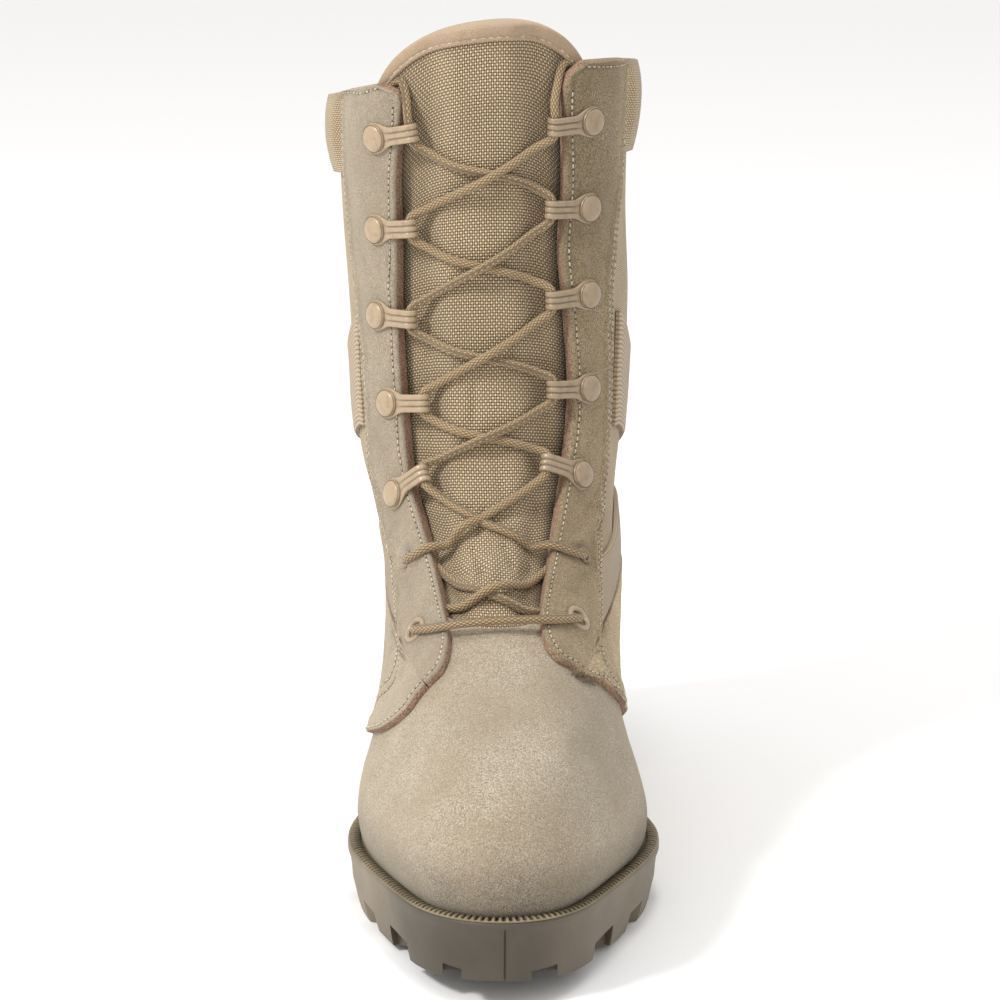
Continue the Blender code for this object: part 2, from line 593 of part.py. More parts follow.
def arch_cutter():
    """Prism across the sole that leaves the arch off the floor, with an upright heel breast."""
    breast = HEEL_BACK - 0.245 * LAST_LENGTH
    front = HEEL_BACK - 0.475 * LAST_LENGTH
    profile = [(breast, -ARCH_RISE), (breast, ARCH_RISE)]
    for i in range(1, 7):
        share = i / 6
        profile.append((breast + (front - breast) * share,
                        ARCH_RISE * (1 - share ** 2.2)))
    profile.append((front, -ARCH_RISE))
    wide = 1.6 * BALL_HALF
    count = len(profile)
    points = [(x, y, z) for x in (-wide, wide) for y, z in profile]
    faces = [list(range(count)), list(range(2 * count - 1, count - 1, -1))]
    faces += [[j, (j + 1) % count, count + (j + 1) % count, count + j] for j in range(count)]
    return mesh_from("arch_cutter", points, faces)


def as_cutter(mesh):
    obj = bpy.data.objects.new(mesh.name, mesh)
    bpy.context.scene.collection.objects.link(obj)
    obj.hide_render = True
    obj.display_type = "WIRE"
    return obj


def cut(obj, cutter):
    modifier = obj.modifiers.new("cut_" + cutter.name, "BOOLEAN")
    modifier.operation = "DIFFERENCE"
    modifier.object = cutter


def make_outsole(rubber):
    """One moulded piece: ledge, upright side, heel block, arch, lugs and toe spring."""
    angles = steps(0.0, 180.0, 32) + steps(-180.0, 0.0, 32)[1:-1]
    top = feather_outline(angles, WELT_LEDGE)
    bottom = feather_outline(angles, WELT_LEDGE, SIDE_TAPER)
    middle = [Vector((p.x, p.y, 0.45 * sole_top(p.y) + 0.55 * tread_bottom(p.y)))
              for p in feather_outline(angles, WELT_LEDGE, 0.25 * SIDE_TAPER)]
    mesh = slab_mesh("outsole", top, bottom, sole_top, tread_bottom, [middle])
    outsole = add_object("outsole", mesh, rubber, 30.0)
    cut(outsole, as_cutter(arch_cutter()))
    cut(outsole, as_cutter(tread_cutter()))


def make_welt(rubber):
    """Moulded rim on the ledge of the sole, round the foot of the upper."""
    angles = steps(-180.0, 180.0, 42)[:-1]
    rim = [feather_outline(angles, g) for g in (WELT_RELIEF, WELT_LEDGE)]
    low = [[Vector((p.x, p.y, sole_top(p.y) + FIT_GAP)) for p in loop] for loop in rim]
    high = [[Vector((p.x, p.y, sole_top(p.y) + FIT_GAP + WELT_THICK)) for p in loop] for loop in rim]
    add_object("welt", sheet_solid("welt", high, low, wrap=True), rubber)


def make_insole(lining):
    angles = steps(0.0, 180.0, 20) + steps(-180.0, 0.0, 20)[1:-1]
    plan = feather_outline(angles, -UPPER_WALL - INSOLE_CLEAR)
    mesh = slab_mesh("insole", plan, plan, lambda y: sole_top(y) + FIT_GAP + INSOLE_THICK,
                     lambda y: sole_top(y) + FIT_GAP)
    add_object("insole", mesh, lining)


def frame_on_facing(angle, v, turn, lift):
    """Place, and the directions towards the throat, up the facing and off it."""
    at = upper_point(angle, v, lift)
    off = (upper_point(angle, v, lift + 0.001) - at).normalized()
    side = math.copysign(1.0, angle)
    towards = upper_point(angle - side, v, lift) - at
    towards = (towards - off * towards.dot(off)).normalized()
    up = (upper_point(angle, v + 0.02, lift) - at)
    up = (up - off * up.dot(off) - towards * up.dot(towards)).normalized()
    tilt = math.radians(turn)
    strap = towards * math.cos(tilt) + up * math.sin(tilt)
    across = up * math.cos(tilt) - towards * math.sin(tilt)
    return at, strap, across, off


def hook_places():
    """Name, side, ring, angle and turn of each speed hook, top pair first."""
    found = []
    for pair, row in enumerate(HOOKS, 1):
        found.append((f"outer_{pair}", row[0], -row[1], row[2]))
        found.append((f"inner_{pair}", row[3], row[4], row[5]))
    return found


def hook_frames():
    lift = LAY_GAP + FACING_THICK + LAY_GAP
    return {name: frame_on_facing(angle, v, turn, lift) for name, v, angle, turn in hook_places()}


def bent_strap(frame):
    """Directions along and off the hook's strap, past its bend."""
    at, strap, across, off = frame
    bend = math.radians(HOOK_BEND)
    return strap * math.cos(bend) - off * math.sin(bend), off * math.cos(bend) + strap * math.sin(bend)


def hook_loop_centre(frame):
    """Middle of the loop that the lace runs through, just under the strap's end."""
    at, strap, across, off = frame
    along_strap, out = bent_strap(frame)
    knee = at + strap * HOOK_KNEE + off * HOOK_METAL / 2
    return knee + along_strap * (HOOK_REACH - HOOK_KNEE) - out * (LACE_RADIUS + LACE_CLEAR + HOOK_METAL / 2)


def make_hook(name, frame, paint):
    """Stamped strap: round base, neck, bend, and an end curled down round the lace."""
    at, strap, across, off = frame
    half_metal = HOOK_METAL / 2
    line = []
    for share in (0.0, 0.25, 0.65):
        reach = HOOK_BASE_RADIUS * (share - 1.0)
        wide = math.sqrt(max(HOOK_BASE_RADIUS ** 2 - reach ** 2, (0.25 * HOOK_BASE_RADIUS) ** 2))
        line.append((at + strap * reach, off, wide, strap))
    line.append((at + strap * 0.30 * HOOK_BASE_RADIUS, off, 0.95 * HOOK_BASE_RADIUS, strap))
    line.append((at + strap * 0.85 * HOOK_BASE_RADIUS, off, 0.60 * HOOK_BASE_RADIUS, strap))
    line.append((at + strap * HOOK_KNEE, off, HOOK_STRAP_WIDTH / 2, strap))
    along_strap, out = bent_strap(frame)
    curl = LACE_RADIUS + LACE_CLEAR + half_metal
    centre = hook_loop_centre(frame)
    line = [(place + off * half_metal, lift, wide) for place, lift, wide, ahead in line]
    for bend in steps(90.0, -200.0, 6):
        turn = math.radians(bend)
        lift = along_strap * math.cos(turn) + out * math.sin(turn)
        line.append((centre + lift * curl, lift, HOOK_STRAP_WIDTH / 2))
    outer = [[m + across * w + lift * half_metal, m - across * w + lift * half_metal] for m, lift, w in line]
    inner = [[m + across * w - lift * half_metal, m - across * w - lift * half_metal] for m, lift, w in line]
    add_object("hook_" + name, sheet_solid(name, outer, inner), paint)


def turned_mesh(name, at, axis, start, profile, count, hole=False):
    """A turned piece from (radius, height) rows. With a hole the profile is closed on itself."""
    side = axis.cross(start).normalized()
    points, faces = [], []
    for radius, height in profile:
        for k in range(count):
            turn = 2 * math.pi * k / count
            points.append(at + axis * height + (start * math.cos(turn) + side * math.sin(turn)) * radius)
    rows = len(profile)
    for i in range(rows if hole else rows - 1):
        low, high = i * count, ((i + 1) % rows) * count
        faces += [[low + k, low + (k + 1) % count, high + (k + 1) % count, high + k] for k in range(count)]
    if not hole:
        faces.append(list(range(count)))
        faces.append(list(range((rows - 1) * count, rows * count)))
    return mesh_from(name, points, faces)


def make_rivet(name, frame, paint):
    at, strap, across, off = frame
    seat = HOOK_METAL + FIT_GAP
    profile = ((RIVET_RADIUS, seat), (RIVET_RADIUS, seat + 0.5 * RIVET_HEIGHT),
               (0.72 * RIVET_RADIUS, seat + RIVET_HEIGHT))
    add_object("rivet_" + name, turned_mesh(name, at, off, strap, profile, 10), paint)


def eyelet_frames():
    lift = LAY_GAP + FACING_THICK + LAY_GAP
    frames = {}
    for pair, (v_outer, outer, v_inner, inner) in enumerate(EYELETS, 1):
        frames[f"outer_{pair}"] = frame_on_facing(-outer, v_outer, 0.0, lift)
        frames[f"inner_{pair}"] = frame_on_facing(inner, v_inner, 0.0, lift)
    return frames


def make_eyelet(name, frame, paint):
    at, strap, across, off = frame
    middle = (EYELET_RADIUS + EYELET_HOLE) / 2
    profile = ((EYELET_RADIUS, 0.0), (middle, EYELET_HEIGHT), (EYELET_HOLE, 0.0))
    add_object("eyelet_" + name, turned_mesh(name, at, off, strap, profile, 14, hole=True), paint)


def lace_floor(angle, v):
    """Lift of what the lace lies on: the tongue, or the facing near and past its edge."""
    if abs(angle) > throat_edge(angle, v) - LACE_CLIMB:
        return LAY_GAP + FACING_THICK
    return tongue_lift(angle, v)


def strand(start, end, over, start_place, end_place):
    """Points of a lace strand from one point to the next, across the tongue.

    The places are first guesses of the ends' angle and ring. Where two strands cross, one
    lies on the tongue and the other on it.
    """
    points = [start]
    count = 7
    start_place, end_place = place_of(start, *start_place), place_of(end, *end_place)
    for i in range(1, count):
        share = i / count
        angle = start_place[0] + (end_place[0] - start_place[0]) * share
        v = start_place[1] + (end_place[1] - start_place[1]) * share
        hump = math.exp(-((share - 0.5) / 0.13) ** 2)
        height = lace_floor(angle, v) + LACE_RADIUS + 2 * LAY_GAP
        height += 1.8 * LACE_RADIUS * hump if over else 0.0
        point = upper_point(angle, v, height)
        off = (upper_point(angle, v, height + 0.001) - point).normalized()
        near = start if share < 0.5 else end
        ease = max(1.0 - min(share, 1 - share) * count / 2.2, 0.0)
        points.append(point + off * max((near - point).dot(off), 0.0) * ease)
    points.append(end)
    return points


def tube_mesh(name, line, radius, sides=5):
    """A round cord along a line of points, with flat ends."""
    points, faces = [], []
    side = None
    for i, at in enumerate(line):
        ahead = (line[min(i + 1, len(line) - 1)] - line[max(i - 1, 0)]).normalized()
        if side is None:
            side = ahead.orthogonal().normalized()
        side = (side - ahead * side.dot(ahead)).normalized()
        other = ahead.cross(side)
        for k in range(sides):
            turn = 2 * math.pi * k / sides
            points.append(at + (side * math.cos(turn) + other * math.sin(turn)) * radius)
    for i in range(len(line) - 1):
        low, high = i * sides, (i + 1) * sides
        faces += [[low + k, low + (k + 1) % sides, high + (k + 1) % sides, high + k] for k in range(sides)]
    faces.append(list(range(sides)))
    faces.append(list(range((len(line) - 1) * sides, len(line) * sides)))
    return mesh_from(name, points, faces)


def join_tubes(name, lines, material):
    """Tubes that touch where they cross, joined into one body."""
    first = add_object(name, tube_mesh(name, lines[0], LACE_RADIUS), material)
    other = as_cutter(tube_mesh(name + "_other", lines[1], LACE_RADIUS))
    modifier = first.modifiers.new("join", "BOOLEAN")
    modifier.operation = "UNION"
    modifier.object = other


def lace_in_loop(frame, place):
    """The lace below, in and above a hook's loop, and the loop's place on the rings."""
    across = frame[2]
    centre = hook_loop_centre(frame)
    reach = across * 0.9 * HOOK_STRAP_WIDTH
    angle = math.copysign(abs(place[0]) - 17.0, place[0])
    return centre - reach, centre, centre + reach, (angle, place[1])


def beside_eyelet(frame):
    """Where a lace ends, lying on the facing just short of the eyelet's rim."""
    at, strap, across, off = frame
    return at + strap * (EYELET_RADIUS + FIT_GAP) + off * (LACE_RADIUS + FIT_GAP)


def zigzag(names, foot, over):
    """One half of the lace, from behind the facing at the top to an eyelet at the foot."""
    frames, eyelets = hook_frames(), eyelet_frames()
    places = {name: (angle, v) for name, v, angle, turn in hook_places()}
    line = []
    for name in names:
        below, centre, above, (angle, v) = lace_in_loop(frames[name], places[name])
        if line:
            line += strand(last_below, above, over, last_place, (angle, v + 0.2))
            over = not over
        else:
            line.append(above)
        line.append(centre)
        last_below, last_place = below, (angle, v - 0.2)
    row = EYELETS[0]
    foot_place = (-row[1], row[0]) if foot.startswith("outer") else (row[3], row[2])
    return line + strand(last_below, beside_eyelet(eyelets[foot]), over, last_place, foot_place)


def make_lace(cord):
    """Crossings through the hooks, the crossing under the facings and the bar at the foot."""
    join_tubes("lace_crossings", [
        zigzag(["outer_1", "inner_2", "outer_3", "inner_4", "outer_5"], "inner_1", False),
        zigzag(["inner_1", "outer_2", "inner_3", "outer_4", "inner_5"], "outer_1", True),
    ], cord)
    high, low = LOW_CROSS
    lines = []
    for side, over in ((1, True), (-1, False)):
        first, last = 0.66 * facing_front(side, high), 0.66 * facing_front(-side, low)
        points = []
        for i in range(8):
            share = i / 7
            angle, v = first + (last - first) * share, high + (low - high) * share
            hump = 1.8 * LACE_RADIUS * math.exp(-((share - 0.5) / 0.2) ** 2) if over else 0.0
            lift = tongue_lift(angle, v) + LACE_RADIUS + 2 * LAY_GAP + hump
            points.append(upper_point(angle, v, lift))
        lines.append(points)
    join_tubes("lace_low_cross", lines, cord)
    v_outer, outer, v_inner, inner = EYELETS[1]
    eyelets = eyelet_frames()
    bar = [beside_eyelet(eyelets["outer_2"])]
    lift = LAY_GAP + FACING_THICK + 2 * LAY_GAP + LACE_RADIUS
    for share in steps(0.0, 1.0, 12)[2:-2]:
        v = v_outer + (v_inner - v_outer) * share + BAR_RISE * math.sin(math.pi * share)
        bar.append(upper_point(-outer + (inner + outer) * share, v, lift))
    bar.append(beside_eyelet(eyelets["inner_2"]))
    add_object("lace_bar", tube_mesh("lace_bar", bar, LACE_RADIUS), cord)


def main():
    for obj in list(bpy.data.objects):
        bpy.data.objects.remove(obj)
    suede = new_material("suede", SUEDE, 0.95)
    nylon = new_material("nylon", NYLON, 0.8)
    rubber = new_material("rubber", RUBBER, 0.6)
    cord = new_material("cord", CORD, 0.85)
    paint = new_material("painted_metal", PAINT, 0.45)
    lining = new_material("lining", LINING, 0.9)
    make_outsole(rubber)
    make_welt(rubber)
    make_insole(lining)
    make_upper(suede)
    make_tongue(nylon, suede)
    make_facings(suede)
    make_quarters(suede)
    make_counter(suede)
    make_webbing(nylon)
    make_collar(nylon)
    for name, frame in hook_frames().items():
        make_hook(name, frame, paint)
        make_rivet(name, frame, paint)
    for name, frame in eyelet_frames().items():
        make_eyelet(name, frame, paint)
    make_lace(cord)


main()
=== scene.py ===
"""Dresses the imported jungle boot: suede, woven nylon, webbing, painted hooks, lace and rubber.

Metres, +Z up, toe towards -Y, inner side of the foot towards +X, as in the CAD.
"""
import math

import bmesh
import bpy
import numpy as np
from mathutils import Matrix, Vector


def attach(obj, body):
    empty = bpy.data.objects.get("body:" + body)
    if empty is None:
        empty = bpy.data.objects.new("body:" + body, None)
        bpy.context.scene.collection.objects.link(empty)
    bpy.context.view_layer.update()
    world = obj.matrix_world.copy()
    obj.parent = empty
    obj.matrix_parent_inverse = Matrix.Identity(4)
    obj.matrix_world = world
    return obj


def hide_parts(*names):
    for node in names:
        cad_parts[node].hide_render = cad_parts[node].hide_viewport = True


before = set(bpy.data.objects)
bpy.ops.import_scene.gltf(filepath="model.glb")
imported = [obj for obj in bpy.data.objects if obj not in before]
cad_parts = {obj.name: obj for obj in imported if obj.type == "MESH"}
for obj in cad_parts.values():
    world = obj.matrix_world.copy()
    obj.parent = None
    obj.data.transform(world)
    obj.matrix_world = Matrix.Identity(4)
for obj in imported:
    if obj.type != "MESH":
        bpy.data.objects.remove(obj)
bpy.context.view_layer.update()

# The last, as in the CAD: a stack of rings from the feather line up to the collar.
LAST_LENGTH = 0.291
HEEL_BACK = 0.0365
BALL_HALF = 0.050
COLLAR_HEIGHT = 0.288
UPPER_WALL = 0.0022
HEEL_SEAT, FOREFOOT_SOLE, TOE_SOLE, TOE_SPRING = 0.0380, 0.0222, 0.0197, 0.010
LAY_GAP = 0.0008
FIT_GAP = 0.0003
COLLAR = 14.0
VAMP_TOP = 7.50
# Columns, as shares: how far the ring rises at the back and the front, its back and front, how far it
# follows the sole, squareness, lean and tilt, then its half widths at the stations, inner side first.
RINGS = np.array((
    (0.000, 0.000, 0.000, 0.000, 1.00, 1.00, 0.00, 0.00, 0.65, 0.60, 1.01, 0.52, 0.65, 0.68, 0.99, 0.53),
    (0.045, 0.042, 0.007, -0.007, 1.00, 1.00, 0.00, 0.00, 0.70, 0.64, 1.03, 0.61, 0.70, 0.72, 1.03, 0.61),
    (0.085, 0.080, 0.010, -0.005, 0.90, 1.00, 0.00, 0.00, 0.72, 0.72, 0.99, 0.62, 0.72, 0.77, 1.01, 0.62),
    (0.125, 0.114, 0.012, 0.010, 0.75, 1.00, 0.00, 0.00, 0.73, 0.79, 0.91, 0.56, 0.73, 0.81, 0.94, 0.56),
    (0.165, 0.148, 0.009, 0.041, 0.55, 1.00, 0.00, 0.00, 0.73, 0.83, 0.83, 0.49, 0.73, 0.83, 0.86, 0.49),
    (0.205, 0.179, 0.002, 0.103, 0.35, 1.00, 0.00, 0.00, 0.74, 0.86, 0.76, 0.43, 0.74, 0.84, 0.78, 0.44),
    (0.245, 0.211, -0.007, 0.206, 0.20, 0.90, -0.01, 0.00, 0.76, 0.88, 0.74, 0.39, 0.74, 0.84, 0.75, 0.39),
    (0.285, 0.250, -0.015, 0.309, 0.10, 0.80, -0.03, 0.00, 0.78, 0.90, 0.79, 0.40, 0.73, 0.84, 0.76, 0.39),
    (0.325, 0.292, -0.024, 0.395, 0.00, 0.70, -0.06, 0.00, 0.80, 0.92, 0.85, 0.44, 0.72, 0.86, 0.78, 0.42),
    (0.375, 0.350, -0.031, 0.474, 0.00, 0.55, -0.09, 0.00, 0.81, 0.97, 0.90, 0.50, 0.73, 0.95, 0.84, 0.48),
    (0.440, 0.427, -0.034, 0.529, 0.00, 0.45, -0.11, 0.00, 0.81, 1.03, 0.94, 0.57, 0.73, 1.00, 0.90, 0.55),
    (0.520, 0.530, -0.033, 0.560, 0.00, 0.35, -0.12, 0.00, 0.81, 1.07, 0.97, 0.61, 0.73, 1.02, 0.93, 0.59),
    (0.630, 0.658, -0.026, 0.577, 0.00, 0.30, -0.13, 0.02, 0.81, 1.10, 1.00, 0.63, 0.74, 1.05, 0.94, 0.60),
    (0.750, 0.797, -0.019, 0.584, 0.00, 0.25, -0.14, 0.06, 0.80, 1.08, 1.01, 0.64, 0.75, 1.08, 0.96, 0.61),
    (0.920, 1.000, -0.012, 0.577, 0.00, 0.20, -0.14, 0.13, 0.82, 1.10, 1.03, 0.66, 0.78, 1.11, 1.00, 0.65),
    (1.000, 1.100, -0.007, 0.570, 0.00, 0.20, -0.14, 0.13, 0.83, 1.12, 1.04, 0.67, 0.80, 1.13, 1.01, 0.66),
))
STATIONS = (0.14, 0.42, 0.66, 0.92)     # heel, waist, ball and toe along a ring, heel to toe

# Outlines on the rings, (ring, angle in degrees from the front), as in the CAD. 1 is the inner side.
THROAT = {
    1: ((0.0, 98.0), (2.0, 91.0), (3.3, 82.0), (4.3, 72.0), (5.2, 61.5), (5.6, 54.0), (5.8, 49.5),
        (6.15, 43.0), (6.5, 33.5), (6.9, 26.0), (7.4, 23.0), (8.1, 25.8), (8.7, 28.7), (10.0, 31.9),
        (11.0, 33.5), (11.9, 30.7), (12.6, 28.0), (13.2, 29.3), (13.75, 28.2), (13.9, 30.0), (14.0, 36.5)),
    -1: ((0.0, 98.0), (2.0, 88.0), (3.2, 74.0), (3.9, 63.5), (4.8, 54.0), (5.4, 48.4), (5.9, 41.2),
         (6.3, 33.7), (6.65, 28.8), (7.0, 26.6), (7.5, 27.4), (8.7, 29.5), (9.7, 32.8), (11.0, 33.0),
         (11.9, 34.0), (12.9, 32.7), (13.3, 32.2), (13.75, 29.0), (13.9, 30.5), (14.0, 38.5)),
}
FACING_BACK = {
    1: ((5.78, 53.0), (5.95, 60.0), (6.3, 64.8), (7.9, 61.6), (9.3, 61.4), (10.7, 60.5),
        (12.0, 58.0), (12.7, 61.7), (13.3, 69.0), (13.75, 70.5), (13.93, 69.5), (14.0, 66.5)),
    -1: ((5.78, 50.5), (5.95, 60.0), (6.3, 66.0), (7.9, 65.0), (9.3, 66.5), (10.7, 61.5), (11.5, 62.5),
         (12.2, 69.0), (13.3, 76.0), (13.6, 75.5), (13.8, 73.5), (13.93, 69.5), (14.0, 62.0)),
}
COUNTER_EDGE = ((0.0, 112.0), (3.0, 118.0), (6.0, 127.0), (8.0, 140.0))
ANKLE_TAPE = (   # angle, ring of the low edge, ring of the high edge
    (70.0, 10.30, 11.80), (90.0, 9.95, 11.40), (115.0, 9.25, 10.65), (140.0, 8.60, 9.85), (163.0, 8.25, 9.35),
)
FACING_FOOT, QUARTER_TOP, COUNTER_TOP, COLLAR_BOTTOM = 5.78, 6.15, 8.0, 13.33
LOWER_TAPE = (6.25, 7.95)
ABOVE_WELT = 0.38
FACING_THICK, QUARTER_THICK, COUNTER_THICK = 0.0022, 0.0014, 0.0018
TAPE_THICK, COLLAR_THICK = 0.0012, 0.0042
BACKSTAY_WIDTH = 0.026
SEWN_DOWN = 0.0001              # underside of what is sewn on, over the upper
FOLD_HEIGHT = 0.0015            # of a fold whose height in a table is 1
CUT_SHOULDER, TAPE_SHOULDER = 0.0009, 0.0005   # how far in a cut edge and a tape's edge are rounded

# Rows of thread: distances from the edges that they follow, and the groove that each pulls in
FRONT_ROW, BACK_ROWS, COUNTER_ROWS = 0.0026, (0.0014, 0.0040), (0.0022, 0.0046)
ROW_WIDTH, ROW_DEPTH, FRONT_DEPTH = 0.0005, 0.0004, 0.00035
STITCH_PITCH, THREAD_RADIUS = 0.0024, 0.00030


# Measures on the last

def curve(rows, place):
    """Values read from rows of (place, value), smooth through the rows and flat past them."""
    x = np.array([r[0] for r in rows], float)
    y = np.array([r[1] for r in rows], float)
    slope = np.zeros(len(x))
    slope[1:-1] = (y[2:] - y[:-2]) / (x[2:] - x[:-2])
    at = np.clip(np.asarray(place, float), x[0], x[-1])
    i = np.clip(np.searchsorted(x, at, side="right") - 1, 0, len(x) - 2)
    s = (at - x[i]) / (x[i + 1] - x[i])
    bend = s * (1 - s) * (x[i + 1] - x[i])
    return y[i] + (y[i + 1] - y[i]) * s * s * (3 - 2 * s) + bend * ((1 - s) * slope[i] - s * slope[i + 1])


def ring_rows(v):
    """The ring table read between its rows, on a smooth curve through them."""
    last = len(RINGS) - 1
    v = np.clip(v, 0.0, last)
    i = np.minimum(v.astype(int), last - 1)
    s = (v - i)[..., None]
    a, b, c, d = RINGS[np.maximum(i - 1, 0)], RINGS[i], RINGS[i + 1], RINGS[np.minimum(i + 2, last)]
    bend, swing = 2 * a - 5 * b + 4 * c - d, 3 * b - a - 3 * c + d
    return 0.5 * (2 * b + (c - a) * s + bend * s ** 2 + swing * s ** 3)


def round_end(turn, square):
    """Half width along a ring: 0 gives an ellipse, more gives fuller shoulders."""
    return np.sin(turn) * np.sqrt(1 + square * np.cos(turn) ** 2)


def sole_top(y):
    """Height of the sole's upper face: level under the heel, down to the ball, up at the toe."""
    breast, ball, toe = (HEEL_BACK - k * LAST_LENGTH for k in (0.24, 0.60, 1.0))
    drop = np.clip((breast - y) / (breast - ball), 0.0, 1.0)
    past = np.maximum((ball - y) / (ball - toe), 0.0)
    lift = TOE_SPRING + TOE_SOLE - FOREFOOT_SOLE
    return HEEL_SEAT + (FOREFOOT_SOLE - HEEL_SEAT) * drop * drop * (3 - 2 * drop) + lift * past * past


def ring_points(angle, v):
    """Points of the upper's outer face. Angle and ring are arrays of one shape."""
    angle, v = np.broadcast_arrays(np.asarray(angle, float), np.asarray(v, float))
    angle = (angle + 180.0) % 360.0 - 180.0
    ring = ring_rows(v)
    turn = np.radians(np.abs(angle))
    share = (1 + np.cos(turn)) / 2
    back = HEEL_BACK + ring[..., 2] * LAST_LENGTH
    front = HEEL_BACK - LAST_LENGTH + ring[..., 3] * LAST_LENGTH
    y = back + (front - back) * share
    inner = angle >= 0
    width = []
    for k, station in enumerate(STATIONS):
        half = np.where(inner, ring[..., 8 + k], ring[..., 12 + k])
        width.append(half / round_end(math.acos(2 * station - 1), ring[..., 5]))
    slopes = [0.0] * 4
    for k in (1, 2):
        slopes[k] = (width[k + 1] - width[k - 1]) / (STATIONS[k + 1] - STATIONS[k - 1])
    half = np.where(share <= STATIONS[0], width[0], width[3])
    for k in range(3):
        span = STATIONS[k + 1] - STATIONS[k]
        s = np.clip((share - STATIONS[k]) / span, 0.0, 1.0)
        part = width[k] + (width[k + 1] - width[k]) * s * s * (3 - 2 * s)
        part = part + s * (1 - s) * span * ((1 - s) * slopes[k] - s * slopes[k + 1])
        half = np.where((share > STATIONS[k]) & (share <= STATIONS[k + 1]), part, half)
    side = np.where(inner, 1.0, -1.0)
    x = BALL_HALF * ring[..., 6] + side * half * BALL_HALF * round_end(turn, ring[..., 5])
    toe_y = HEEL_BACK - LAST_LENGTH
    heel_z = HEEL_SEAT + ring[..., 0] * (COLLAR_HEIGHT - HEEL_SEAT)
    toe_z = sole_top(toe_y) + ring[..., 1] * (COLLAR_HEIGHT - sole_top(toe_y))
    chord = sole_top(HEEL_BACK) + (sole_top(toe_y) - sole_top(HEEL_BACK)) * share
    z = heel_z + (toe_z - heel_z) * share + ring[..., 4] * (sole_top(y) - chord)
    z = z + BALL_HALF * ring[..., 7] * side * np.sin(turn) + 2 * FIT_GAP
    return np.stack((x, y, z), axis=-1)


def unit(a):
    """Vectors at length 1."""
    return a / np.maximum(np.linalg.norm(a, axis=-1, keepdims=True), 1e-12)


def surface(angle, v):
    """Points of the upper's outer face and the directions off it."""
    angle, v = np.broadcast_arrays(np.asarray(angle, float), np.asarray(v, float))
    at = ring_points(angle, v)
    around = ring_points(angle + 0.5, v) - ring_points(angle - 0.5, v)
    up = ring_points(angle, np.minimum(v + 0.04, 15.0)) - ring_points(angle, np.maximum(v - 0.04, 0.0))
    return at, unit(np.cross(around, up))


def lifted(angle, v, lift):
    """Points off the upper by a lift in metres."""
    at, off = surface(angle, v)
    return at + off * np.asarray(lift)[..., None]


def point(angle, v, lift=0.0):
    """One such point, as a Vector."""
    return Vector(lifted(float(angle), float(v), float(lift)))


def throat(side, v):
    """Signed angle of the throat's edge."""
    return side * curve(THROAT[side], v)


def facing_back(side, v):
    """Signed angle of the eyestay's back edge."""
    return side * curve(FACING_BACK[side], v)


def run(points, axis):
    """Distance along a grid of points from its first row or column, in metres."""
    step = np.linalg.norm(np.diff(points, axis=axis), axis=-1)
    pad = [(0, 0), (0, 0)]
    pad[axis] = (1, 0)
    return np.cumsum(np.pad(step, pad), axis=axis)


def travel(line):
    """Distance along one line of points from its start."""
    return np.concatenate(((0.0,), np.cumsum(np.linalg.norm(np.diff(line, axis=0), axis=1))))


def bell(x, width):
    """A soft bump: 1 at 0, and 0.37 at its width."""
    return np.exp(-(x / width) ** 2)


def ease(x):
    """0 below 0, 1 above 1, and smooth between."""
    x = np.clip(x, 0.0, 1.0)
    return x * x * (3 - 2 * x)


def mottle(points, size, seed):
    """Smooth noise from -1 to 1 at points, with lumps of about that size in metres."""
    q = points / size + 37.0 + 11.3 * seed
    cell = np.floor(q).astype(np.int64)
    f = q - cell
    f = f * f * (3 - 2 * f)
    total = 0.0
    for corner in range(8):
        bits = np.array([(corner >> k) & 1 for k in range(3)])
        c = cell + bits
        mixed = (c[..., 0] * 73856093) ^ (c[..., 1] * 19349663) ^ (c[..., 2] * 83492791) ^ (seed * 2654435)
        mixed = (mixed ^ (mixed >> 13)) * 1274126177
        value = ((mixed ^ (mixed >> 16)) & 0xFFFF) / 32767.5 - 1.0
        weight = np.prod(np.where(bits == 1, f, 1 - f), axis=-1)
        total = total + value * weight
    return total


def folds(at, rows):
    """Soft troughs and ridges, each along a line between two places on the upper.

    Rows hold the angle and ring of both ends, the width in mm, and the height as a share of
    FOLD_HEIGHT, below zero for a trough.
    """
    lift = np.zeros(at.shape[:-1])
    for a0, v0, a1, v1, wide, high in rows:
        start, end = lifted(a0, v0, 0.0), lifted(a1, v1, 0.0)
        along = end - start
        share = np.clip(((at - start) @ along) / max(along @ along, 1e-12), 0.0, 1.0)
        apart = np.linalg.norm(at - start - share[..., None] * along, axis=-1)
        lift += FOLD_HEIGHT * high * bell(apart, 0.001 * wide)
    return lift


def swells(angle, v, rows):
    """Round dips and swells: angle, ring, lift, spread in degrees, spread in rings."""
    lift = 0.0
    for a, r, high, wide, tall in rows:
        lift = lift + high * bell(angle - a, wide) * bell(v - r, tall)
    return lift


# Making meshes

def add_piece(name, mesh, materials, node, sharp=50.0):
    """A piece that rides on the boot and stands for CAD nodes."""
    for material in materials:
        mesh.materials.append(material)
    mesh.shade_smooth()
    mesh.set_sharp_from_angle(angle=math.radians(sharp))
    piece = bpy.data.objects.new(name, mesh)
    bpy.context.scene.collection.objects.link(piece)
    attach(piece, "root")
    if node:
        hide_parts(*([node] if isinstance(node, str) else node))
    return piece


